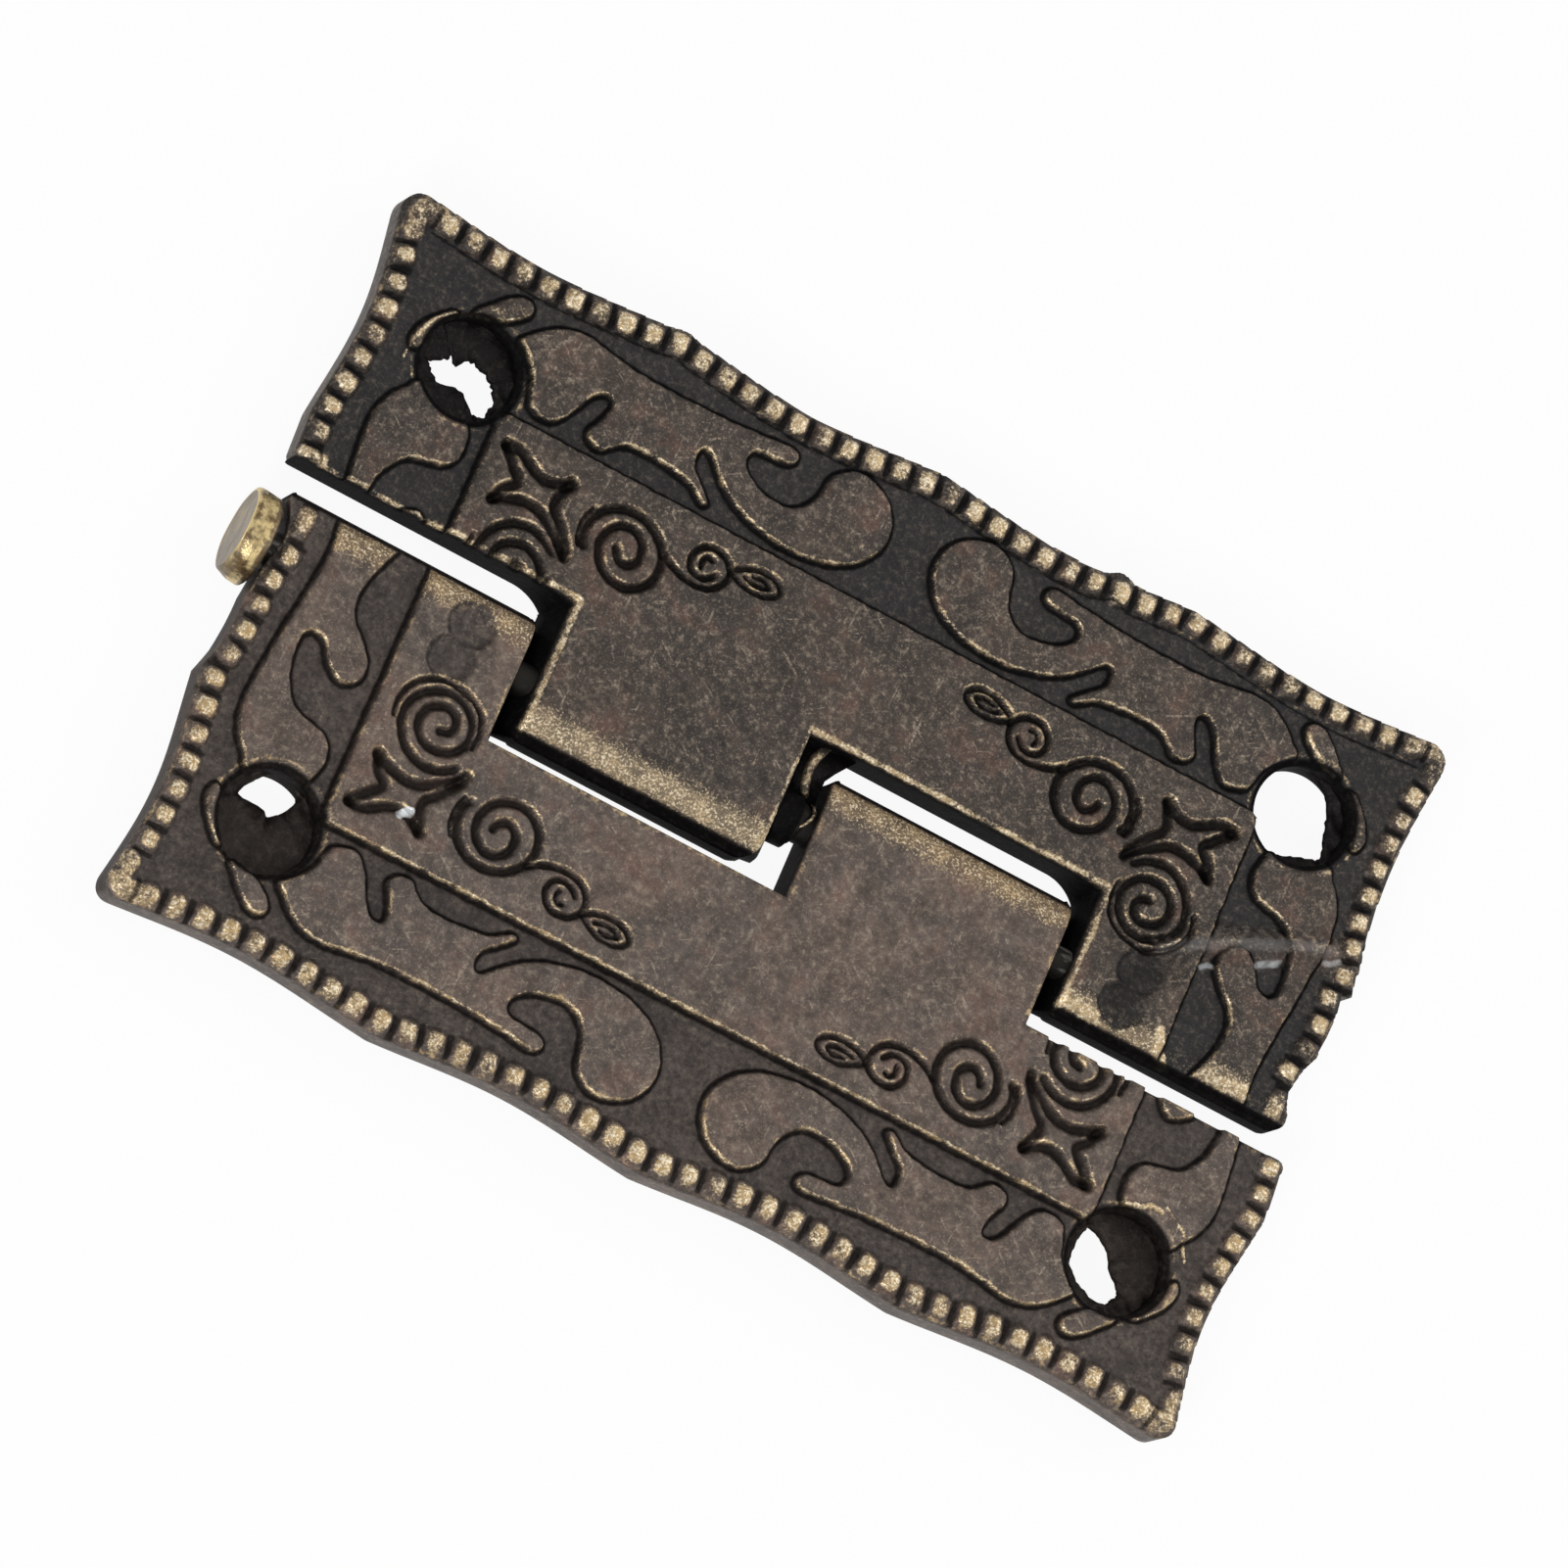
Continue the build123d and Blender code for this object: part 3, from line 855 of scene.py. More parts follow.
@dataclass(frozen=True)
class AntiqueBronze:
    """Dark antique plating, rubbed to brass on the high places, with painted glints and highlights, and a
    near-black coat that also paints shade.
    """

    field_tone: Tone = (64, 57, 54)
    field_warm: Tone = (75, 66, 61)
    top_tone: Tone = (92, 82, 76)
    top_warm: Tone = (102, 88, 79)
    brass: Tone = (172, 146, 104)
    painted_highlight: Tone = (216, 205, 182)
    gilt: Tone = (150, 124, 88)
    fleck_and_glint: Tone = (152, 138, 122)
    rust: Tone = (114, 82, 70)
    near_black: Tone = (9, 8, 8)
    zinc: Tone = (205, 208, 210)
    cloud_noise: Noise = (0.25, 4.0, 0.6)
    blush_noise: Noise = (0.6, 3.0, 0.6)
    patch_noise: Noise = (1.1, 3.0, 0.6)
    grain_noise: Noise = (3.4, 4.0, 0.65)
    speck_noise: Noise = (9.0, 2.0, 0.7)
    scrape_noise: Noise = (4.4, 2.0, 0.5, 7.0)
    scrape_turns: tuple[float, ...] = (0.5, 1.5, 2.5)

    def build(self, name: str) -> bpy.types.Material:
        """Makes the material.

        Args:
            name: name of the material.

        Returns:
            The material.
        """
        material, s = Sheet.of_material(name)
        level, wear, dark = s.channel(Channel.LEVEL), s.channel(Channel.WEAR), s.channel(Channel.DARK)
        gold, chip = s.channel(Channel.GOLD), s.channel(Channel.CHIP)
        cloud = s.noise(*self.cloud_noise)
        blush = s.noise(*self.blush_noise)
        patch = s.noise(*self.patch_noise)
        grain = s.noise(*self.grain_noise)
        speck = s.noise(*self.speck_noise)
        scrapes = [s.noise(*self.scrape_noise, turn).step(0.66, 0.71) for turn in self.scrape_turns]

        low = s.mix(self.field_tone, self.field_warm, cloud.step(0.35, 0.7))
        high = s.mix(self.top_tone, self.top_warm, cloud.step(0.4, 0.66))
        high = s.mix(high, self.rust, blush.step(0.52, 0.7) * 0.34)
        colour = s.mix(low, high, level * (0.8 + 0.4 * grain).lowest(1.0))
        colour = s.mix(colour, self.near_black, (1.0 - grain.step(0.32, 0.54)) * (0.55 - 0.27 * level))
        colour = s.mix(colour, self.near_black, (1.0 - patch.step(0.3, 0.56)) * 0.32)
        colour = s.mix(colour, self.near_black, (1.0 - blush.step(0.36, 0.56)) * 0.24)
        # painted glints on the rough surface, more on the high places
        lights = grain.step(0.5, 0.74) * (0.18 + 0.3 * level) + speck.step(0.55, 0.72) * (0.12 + 0.36 * level)
        colour = s.mix(colour, self.fleck_and_glint, lights * (0.1 + 1.8 * patch))
        scrape = scrapes[0].highest(scrapes[1]).highest(scrapes[2])
        scratch = scrape * (0.15 + 0.5 * level) * patch.step(0.35, 0.6)
        # scratches in the glint colour: real marks, pale in places as painted glints
        colour = s.mix(colour, self.fleck_and_glint, scratch * speck.step(0.36, 0.55))
        colour = s.mix(colour, self.gilt, gold.step(0.35, 1.0) * (0.25 + 0.7 * (patch - 0.2)) * 0.7)
        spread = speck + 0.16 * gold + 0.35 * (grain - 0.5) + 0.35 * (patch - 0.5)
        sprinkle = spread.step(0.58, 0.76) * gold.step(0.1, 0.6)
        colour = s.mix(colour, self.brass, sprinkle * 0.8)
        # painted glints on the gold band
        colour = s.mix(colour, self.painted_highlight, sprinkle * speck.step(0.52, 0.66) * gold * 0.9)
        rubbed = (wear + 1.1 * (grain - 0.5) + 0.6 * (speck - 0.5) + 1.3 * (patch - 0.5)).step(0.36, 0.88)
        colour = s.mix(colour, self.brass, rubbed * 0.85)
        # painted highlight: pale glints on the rubbed tops and lips
        shine = rubbed * (speck + 0.4 * (grain - 0.5)).step(0.48, 0.62) * wear.step(0.3, 0.75)
        colour = s.mix(colour, self.painted_highlight, shine * 0.95)
        colour = s.mix(colour, self.zinc, chip.step(0.3, 0.6) * chip)

        ripple = 0.6 * patch + 0.5 * grain + 0.35 * speck - 0.3 * scratch
        normal = s.bump(ripple, 0.075, 0.9)
        metal = {
            "Base Color": colour,
            "Metallic": 0.62 + 0.25 * rubbed,
            "Roughness": 0.52 - 0.16 * rubbed + 0.14 * (grain - 0.5),
            "Normal": normal,
        }
        # near-black coat over the dark field: darker grooves, bead gaps and holes, and painted shade on gap
        # walls, knuckle ends, shape feet and pocket rims
        black = s.mix(self.near_black, self.field_tone, 0.1 + 0.4 * grain.step(0.45, 0.75))
        dark_coat = {"Base Color": black, "Roughness": 0.5 + 0.2 * grain, "IOR": 1.08, "Normal": normal}
        darkened = (dark * (0.8 + 0.4 * grain)).step(0.12, 0.88) * 0.98 * (1.0 - chip.step(0.2, 0.45))
        s.blend(darkened, s.surface(metal), s.surface(dark_coat))
        return material


@dataclass(frozen=True)
class TumbledBrass:
    """Brass of the pin, dulled and finely scuffed, with painted highlights on the head's side and painted
    glints on the shank.
    """

    body: Tone = (150, 130, 96)
    dull: Tone = (114, 102, 84)
    bright: Tone = (240, 214, 152)
    stain: Tone = (96, 74, 42)
    dirt: Tone = (12, 11, 10)
    steel_glint: Tone = (150, 146, 140)
    cloud_noise: Noise = (0.7, 4.0, 0.6)
    tarnish_noise: Noise = (1.5, 3.0, 0.6)
    grain_noise: Noise = (5.0, 3.0, 0.6)
    scuff_noise: Noise = (2.0, 4.0, 0.6, 5.0, 1.2)
    glint_noise: Noise = (1.6, 3.0, 0.6, 3.3)

    def build(self, name: str) -> bpy.types.Material:
        """Makes the material.

        Args:
            name: name of the material.

        Returns:
            The material.
        """
        material, s = Sheet.of_material(name)
        level, wear, dark = s.channel(Channel.LEVEL), s.channel(Channel.WEAR), s.channel(Channel.DARK)
        cloud = s.noise(*self.cloud_noise)
        tarnish = s.noise(*self.tarnish_noise)
        grain = s.noise(*self.grain_noise)
        scuff = s.noise(*self.scuff_noise)
        colour = s.mix(self.body, self.dull, cloud.step(0.3, 0.6))
        colour = s.mix(colour, self.dull, scuff.step(0.48, 0.66) * 0.7)
        stained = level * (tarnish + 0.3 * (grain - 0.5)).step(0.4, 0.66)
        colour = s.mix(colour, self.stain, stained * 0.8)
        rubbed = (wear + level * 2.0 * (0.49 - tarnish) + 0.4 * (grain - 0.5)).step(0.3, 0.9)
        # rubbed brass; on the head's side it also paints highlights
        colour = s.mix(colour, self.bright, rubbed * (0.85 - 0.2 * level))
        # painted glints of steel on the dark shank
        glint = s.noise(*self.glint_noise).step(0.58, 0.68)
        black = s.mix(self.dirt, self.steel_glint, glint * 0.4)
        normal = s.bump(0.6 * cloud + 0.3 * grain + 0.3 * scuff + 1.3 * level * tarnish, 0.1, 0.8)
        metal = {
            "Base Color": colour,
            "Metallic": 0.85,
            "Roughness": 0.36 + 0.2 * (scuff - 0.5),
            "Normal": normal,
        }
        dark_coat = {
            "Base Color": black,
            "Roughness": 0.5 + 0.2 * grain,
            "Specular IOR Level": 0.16,
            "Normal": normal,
        }
        darkened = (dark * (0.7 + 0.6 * grain)).step(0.1, 0.9) * 0.98
        s.blend(darkened, s.surface(metal), s.surface(dark_coat))
        return material


@dataclass(frozen=True)
class PaleFloor:
    """White studio floor, which keeps a faint shadow."""

    tone: Tone = (250, 250, 250)
    tone_low: Tone = (246, 246, 246)
    glow: float = 0.93
    mottle_noise: Noise = (0.01, 2.0, 0.5)

    def build(self, name: str) -> bpy.types.Material:
        """Makes the material."""
        material, s = Sheet.of_material(name)
        mottle = s.noise(*self.mottle_noise).step(0.2, 0.8)
        plain = s.mix(self.tone, self.tone_low, mottle)
        matte = s.node("ShaderNodeBsdfDiffuse", {}, {"Color": plain})
        lit = s.node("ShaderNodeEmission", {}, {"Color": WHITE, "Strength": 1.0})
        s.blend(s.seen() * self.glow, matte.outputs[0], lit.outputs[0])
        return material


@dataclass
class MeshParts:
    """Vertices, faces and surface fields of a mesh in the making, in millimetres."""

    points: list[Place] = field(default_factory=list)
    faces: list[tuple[int, ...]] = field(default_factory=list)
    fields: dict[Channel, list[float]] = field(default_factory=lambda: {c: [] for c in Channel})

    def point(self, place: Sequence[float], **values: float) -> int:
        """Adds a vertex.

        Args:
            place: its three coordinates.
            values: surface fields by channel name, 0 where not given.

        Returns:
            Its number.
        """
        self.points.append((float(place[0]), float(place[1]), float(place[2])))
        for channel in Channel:
            self.fields[channel].append(values.get(channel.value, 0.0))
        return len(self.points) - 1

    def band(self, upper: list[int], lower: list[int]) -> None:
        """Adds the faces between two closed rings of vertices."""
        for i in range(len(upper)):
            j = (i + 1) % len(upper)
            self.faces.append((upper[i], upper[j], lower[j], lower[i]))

    def build(self, name: str, finish: bpy.types.Material, turned: bool = False) -> bpy.types.Object:
        """Makes the object.

        Args:
            name: name of the piece.
            finish: its material.
            turned: whether it is turned half round about the upright axis.

        Returns:
            The new object, in metres.
        """
        mesh = bpy.data.meshes.new(name)
        spots = np.asarray(self.points) * MM
        if turned:
            spots[:, :2] *= -1.0
        mesh.from_pydata(spots.tolist(), [], self.faces)
        for channel, values in self.fields.items():
            layer = mesh.attributes.new(channel.value, "FLOAT", "POINT")
            layer.data.foreach_set("value", np.asarray(values, np.float32))
        mesh.materials.append(finish)
        mesh.polygons.foreach_set("use_smooth", np.ones(len(mesh.polygons), bool))
        mesh.update()
        made = bpy.data.objects.new(name, mesh)
        bpy.context.scene.collection.objects.link(made)
        return made


@dataclass(frozen=True)
class Mark:
    """A flaw of the casting along a line: a smear, chip, scratch or torn lip."""

    line: tuple[Point, ...]
    width: float
    raised: float
    channel: Channel
    amount: float

    def put_on(self, relief: Relief) -> None:
        """Works the flaw into a relief."""
        line = smooth_line(self.line, False)
        part = relief.window(line, 2.5 * self.width)
        x, y = relief.x[part], relief.y[part]
        ragged = 1.0 + 0.25 * np.sin(9.0 * x + 4.0 * y) * np.cos(7.0 * y - 3.0 * x)
        shape = np.exp(-((line_distance(x, y, line, False) / (0.5 * self.width * ragged)) ** 4))
        relief.height[part] += self.raised * shape
        relief.paint(self.channel, part, self.amount * shape)


@dataclass
class Flash:
    """Thin casting web left in a screw hole, with a ragged opening."""

    hole: Point
    opening: tuple[Point, ...]
    jag: float = 0.05
    level: float = 0.95
    lumps: Point = (0.16, 0.05)
    fall: float = 0.04
    thick: float = 0.25
    dark: float = 0.6

    def add_to(self, parts: MeshParts, radius: float) -> None:
        """Adds the web to a leaf.

        Args:
            parts: the leaf's mesh.
            radius: radius of the screw hole.
        """
        edge = smooth_line(self.opening, True, 6)
        angle = np.unwrap(np.arctan2(edge[:, 1] - edge[:, 1].mean(), edge[:, 0] - edge[:, 0].mean()))
        if angle[-1] < angle[0]:
            edge = edge[::-1]
        middle = np.array(self.hole)
        edge += (edge - edge.mean(0)) * [[self.jag * (chance(*spot) - 0.5)] for spot in edge]
        out = edge - middle
        reach = np.hypot(out[:, 0], out[:, 1])
        over = reach > radius
        edge[over] = middle + out[over] / reach[over, None] * radius
        centre = edge.mean(0)
        rings: list[list[int]] = [[] for _ in range(5)]
        for spot in edge:
            away = spot - centre
            away = away / max(np.hypot(*away), 1e-6)
            b = 2 * float(np.dot(spot - middle, away))
            c = float(np.dot(spot - middle, spot - middle)) - (radius + 0.05) ** 2
            run = (-b + math.sqrt(max(b * b - 4 * c, 0.0))) / 2
            rim = spot + away * max(run, 0.01)
            for k, ring in enumerate(rings[:4]):
                x, y = rim + (spot - rim) * k / 3
                lump = self.lumps[0] * math.sin(5.0 * x + 1.3) * math.cos(6.0 * y)
                lump = lump + self.lumps[1] * math.sin(13.0 * x - 9.0 * y)
                z = self.level + self.fall * (3 - k) + lump
                ring.append(parts.point((x, y, z), dark=self.dark, level=0.1))
            rings[4].append(parts.point((spot[0], spot[1], self.level - self.thick), dark=1.0))
        for upper, lower in zip(rings, rings[1:]):
            parts.band(upper, lower)


@dataclass(frozen=True)
class Burr:
    """Rounded rope of metal along a line in space, thinning out at its ends."""

    line: tuple[Place, ...]
    radii: tuple[float, ...]
    bright: float
    dark: float
    sides: int = 20

    def add_to(self, parts: MeshParts) -> None:
        """Adds the rope to a leaf."""
        spots = [Vector(p) for p in self.line]
        rings: list[list[int]] = []
        for i, (spot, radius) in enumerate(zip(spots, self.radii)):
            ahead = (spots[min(i + 1, len(spots) - 1)] - spots[max(i - 1, 0)]).normalized()
            across = ahead.cross(Vector((0.0, 0.0, 1.0))).normalized()
            up = across.cross(ahead)
            ring = []
            for k in range(self.sides):
                a = 2 * math.pi * k / self.sides
                place = spot + radius * (math.cos(a) * across + math.sin(a) * up)
                ring.append(parts.point(place, wear=self.bright, dark=self.dark, level=self.bright))
            rings.append(ring)
        for first, second in zip(rings, rings[1:]):
            parts.band(first, second)
        parts.faces.append(tuple(reversed(rings[0])))
        parts.faces.append(tuple(rings[-1]))


@dataclass(frozen=True)
class GapShadeSheet:
    """Dark sheet with a straight-sided outline, put in a gap as painted shade."""

    outline: tuple[Point, ...]
    low: float
    high: float
    dark: float = 0.66

    def add_to(self, parts: MeshParts) -> None:
        """Adds the web to a leaf."""
        tops = [parts.point((x, y, self.high), dark=self.dark) for x, y in self.outline]
        feet = [parts.point((x, y, self.low), dark=1.0) for x, y in self.outline]
        parts.faces.append(tuple(tops))
        parts.faces.append(tuple(reversed(feet)))
        parts.band(feet, tops)


@dataclass
class Leaf:
    """One cast leaf with its relief, edges, back and screw holes."""

    name: str
    node: str
    body: str
    turned: bool
    plan: LeafPlan
    flashes: tuple[Flash, ...]
    ornament: Ornament = field(default_factory=Ornament)
    marks: tuple[Mark, ...] = ()
    burrs: tuple[Burr | GapShadeSheet, ...] = ()
    notch_line: Point = (0.1, 0.14)
    edge_line: Point = (0.08, 0.1)
    hole_line: Point = (0.4, 0.12)
    hole_dark_slope: Point = (0.12, 0.36)
    tip_shade_slope: Point = (-0.5, -0.25)
    gold_slope: Point = (0.2, 1.7)
    gold_end: Point = (-0.5, -0.3)
    full_dark: float = 0.95

    def shape(self) -> tuple[Relief, Array]:
        """Relief of the leaf with its rounded edges.

        Returns:
            The relief, and the signed distance to the leaf's boundary.
        """
        relief = Relief(front=1.0 if self.turned else -1.0)
        self.ornament.carve(relief, self.plan)
        x, y = relief.x, relief.y
        plan = self.plan
        edge, notch, hole = plan.edge_depth(x, y), plan.notch_depth(x, y), plan.hole_depth(x, y)
        whole = (slice(None), slice(None))
        lip = np.sqrt(np.clip(1 - (1 - np.clip(edge / plan.lip_round, 0, 1)) ** 2, 0, 1))
        rim = plan.rim_level + 0.2 * lip + 1.2 * ease(*plan.rim_slope, edge)
        relief.height = np.where(y > plan.knuckle_start, relief.height, np.minimum(relief.height, rim))
        tip = plan.tip(x)
        out = np.clip(y - tip + plan.barrel_radius, 0.0, plan.barrel_radius)
        barrel = AXIS_HEIGHT + np.sqrt(plan.barrel_radius**2 - out**2) + 4.0 * (out <= 0.0)
        relief.height = np.minimum(relief.height, barrel)
        relief.height -= 0.12 * (1 - ease(0.0, 0.18, notch))
        relief.height -= 0.3 * (1 - ease(0.0, 0.4, hole))
        level = relief.fields[Channel.LEVEL]
        worn = np.where(x < plan.notches[1].start - 0.3, plan.notches[0].worn, plan.notches[1].worn)
        relief.paint(Channel.WEAR, whole, worn * bump_at(notch, *self.notch_line) * (0.85 + 0.15 * level))
        relief.paint(Channel.WEAR, whole, 0.42 * bump_at(edge, *self.edge_line) * (y < 1.5))
        # darker around the rims of the screw holes
        relief.paint(Channel.DARK, whole, self.full_dark * (1 - ease(*self.hole_dark_slope, hole)))
        relief.paint(Channel.WEAR, whole, 0.5 * bump_at(hole, *self.hole_line))
        rolled = ease(*self.gold_slope, y) * (1 - ease(*self.gold_end, y - tip))
        relief.paint(Channel.GOLD, whole, (0.25 + 0.75 * level) * rolled)
        # painted shade on the rounded underside of the knuckle ends
        relief.paint(Channel.DARK, whole, ease(*self.tip_shade_slope, y - tip) * self.full_dark)
        relief.paint(Channel.LEVEL, whole, 0.55 * (1 - ease(0.05, 0.3, edge)) * (edge > -0.3))
        for mark in self.marks:
            mark.put_on(relief)
        return relief, plan.depth(x, y)

    def mesh(self) -> MeshParts:
        """Mesh of the leaf: face, walls, back and webs.

        Returns:
            The mesh in the making.
        """
        relief, depth = self.shape()
        parts = MeshParts()
        numbers = np.full(depth.shape, -1, int)
        keep = depth > 0
        channels = [(c.value, relief.fields[c]) for c in Channel]

        def number(row: int, column: int) -> int:
            """Vertex at a grid place, made when first asked for."""
            if numbers[row, column] < 0:
                place = (relief.x[row, column], relief.y[row, column], relief.height[row, column])
                fields = {name: float(values[row, column]) for name, values in channels}
                numbers[row, column] = parts.point(place, **fields)
            return int(numbers[row, column])

        plain = self.plain_blocks(relief, keep)
        self.add_plain(parts, plain, number)
        done = np.zeros((depth.shape[0] - 1, depth.shape[1] - 1), bool)
        spread = np.kron(plain, np.ones((BLOCK, BLOCK), bool))
        done[: spread.shape[0], : spread.shape[1]] = spread
        crossings: dict[tuple[int, int, int, int], int] = {}

        def crossing(a: tuple[int, int], b: tuple[int, int]) -> int:
            """Vertex where the boundary crosses the grid line from a to b."""
            key = min(a, b) + max(a, b)
            if key not in crossings:
                t = min(max(depth[a] / (depth[a] - depth[b]), 0.04), 0.96)
                inner = a if depth[a] > 0 else b
                place = [g[a] + t * (g[b] - g[a]) for g in (relief.x, relief.y)]
                fields = {name: float(values[inner]) for name, values in channels}
                crossings[key] = parts.point((*place, relief.height[inner]), **fields)
            return crossings[key]

        rim: list[tuple[int, int]] = []
        full = keep[:-1, :-1] & keep[1:, :-1] & keep[:-1, 1:] & keep[1:, 1:]
        some = keep[:-1, :-1] | keep[1:, :-1] | keep[:-1, 1:] | keep[1:, 1:]
        for row, column in np.argwhere(full & ~done):
            corners = ((row, column), (row, column + 1), (row + 1, column + 1), (row + 1, column))
            parts.faces.append(tuple(number(*corner) for corner in corners))
        for row, column in np.argwhere(some & ~full).tolist():
            corners = ((row, column), (row, column + 1), (row + 1, column + 1), (row + 1, column))
            loop: list[int] = []
            cut: list[bool] = []
            for a, b in zip(corners, corners[1:] + corners[:1]):
                if keep[a]:
                    loop.append(number(*a))
                    cut.append(False)
                if keep[a] != keep[b]:
                    loop.append(crossing(a, b))
                    cut.append(True)
            parts.faces.append(tuple(loop))
            for i in range(len(loop)):
                j = (i + 1) % len(loop)
                if cut[i] and cut[j] and len(loop) > 2:
                    rim.append((loop[i], loop[j]))
        self.add_walls(parts, rim)
        for flash in self.flashes:
            flash.add_to(parts, self.plan.hole_radius)
        for burr in self.burrs:
            burr.add_to(parts)
        return parts

    @staticmethod
    def plain_blocks(relief: Relief, keep: Array) -> Array:
        """Blocks of the grid that are level and of one finish.

        Args:
            relief: the leaf's relief.
            keep: which grid places are on the leaf.

        Returns:
            Whether each block is plain.
        """
        shape = (BLOCK + 1, BLOCK + 1)
        plain = np.lib.stride_tricks.sliding_window_view(keep, shape)[::BLOCK, ::BLOCK].all((2, 3))
        for values in (relief.height, *relief.fields.values()):
            windows = np.lib.stride_tricks.sliding_window_view(values, shape)[::BLOCK, ::BLOCK]
            plain &= windows.max((2, 3)) - windows.min((2, 3)) < 2e-3
        return plain

    @staticmethod
    def add_plain(parts: MeshParts, plain: Array, number: Callable[[int, int], int]) -> None:
        """Adds one face for each plain block, meeting the fine faces beside it.

        Args:
            parts: the leaf's mesh.
            plain: which blocks are plain.
            number: gives the vertex at a grid place.
        """
        ring = np.pad(plain, 1)
        for row, column in np.argwhere(plain).tolist():
            top, left = row * BLOCK, column * BLOCK
            beside = [ring[row + r, column + c] for r, c in ((0, 1), (1, 2), (2, 1), (1, 0))]
            walk = ((0, 0, 0, 1), (0, BLOCK, 1, 0), (BLOCK, BLOCK, 0, -1), (BLOCK, 0, -1, 0))
            loop: list[int] = []
            for joined, (r, c, dr, dc) in zip(beside, walk):
                for k in range(1 if joined else BLOCK):
                    loop.append(number(top + r + k * dr, left + c + k * dc))
            parts.faces.append(tuple(loop))

    def add_walls(self, parts: MeshParts, rim: list[tuple[int, int]]) -> None:
        """Adds the walls below the boundary and the flat back.

        Args:
            parts: the leaf's mesh.
            rim: boundary edges of the face, each with the leaf on its left.
        """
        plan = self.plan
        ends = sorted({i for edge in rim for i in edge})
        x, y, tops = np.array([parts.points[i] for i in ends]).T
        step = 1e-3
        gx = (plan.depth(x + step, y) - plan.depth(x - step, y)) / (2 * step)
        gy = (plan.depth(x, y + step) - plan.depth(x, y - step)) / (2 * step)
        size = np.maximum(np.hypot(gx, gy), 1e-6)
        gx, gy = gx / size, gy / size
        slot = plan.notch_depth(x, y) < np.minimum(plan.edge_depth(x, y), plan.hole_depth(x, y))
        tip = (plan.tip(x) - y < 0.4) & ~slot
        hole = plan.hole_depth(x, y) < 0.05
        foot = plan.wall_feet[0] + (plan.wall_feet[1] - plan.wall_feet[0]) * ease(-10.0, 15.0, x)
        low = np.where(tip, plan.tip_foot, np.where(slot | hole, plan.slot_foot, foot))
        bevel = np.where(slot | hole, plan.slot_bevel, np.minimum(foot, plan.edge_bevel))
        bevel = np.where(tip, plan.tip_bevel, bevel)
        root_x, root_y = plan.root(x, y)
        shade = plan.wall_dark + plan.left_shade * ease(0.4, 0.8, gx)
        # painted shade: notch and knuckle-end walls black, screw hole walls near black, outer walls darker
        # where they face left
        dark = np.where(slot | tip, 1.0, np.where(hole, plan.hole_wall_dark, shade))
        level = np.where(slot | tip, 0.0, plan.wall_level)
        rings: list[dict[int, int]] = [dict(zip(ends, ends))]
        for fall, tuck, spread in WALL_RINGS:
            z = tops + (np.minimum(low, tops) - tops) * fall
            z = z * (1 - tuck) if tuck < 1 else np.zeros(z.shape)
            inset = bevel * (1 - math.sqrt(1 - tuck**2))
            px = x + gx * inset + root_x * spread
            py = y + gy * inset + root_y * spread
            if tuck == 1:
                dark, level = np.full(z.shape, plan.back_dirt), np.full(z.shape, plan.wall_level)
            spots = zip(ends, px, py, z, dark, level)
            rings.append({n: parts.point((a, b, c), dark=d, level=e) for n, a, b, c, d, e in spots})
        for upper, lower in zip(rings, rings[1:]):
            for a, b in rim:
                parts.faces.append((upper[b], upper[a], lower[a], lower[b]))
        self.add_back(parts, [(rings[-1][b], rings[-1][a]) for a, b in rim])

    @staticmethod
    def add_back(parts: MeshParts, edges: list[tuple[int, int]]) -> None:
        """Closes the back between the lowest boundary loops."""
        after = dict(edges)
        loops: list[list[int]] = []
        while after:
            start, loop = next(iter(after)), []
            here = start
            while here in after:
                loop.append(here)
                here = after.pop(here)
            loops.append(loop)
        flat = [[Vector((*parts.points[i][:2], 0.0)) for i in loop] for loop in loops]
        order = [i for loop in loops for i in loop]
        for a, b, c in tessellate_polygon(flat):
            parts.faces.append((order[a], order[b], order[c]))

    def build(self, finish: bpy.types.Material) -> bpy.types.Object:
        """Makes the leaf and lets it stand for its solid.

        Args:
            finish: the bronze finish.

        Returns:
            The piece.
        """
        piece = self.mesh().build(self.name, finish, self.turned)
        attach(piece, self.body)
        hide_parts(self.node)
        return piece


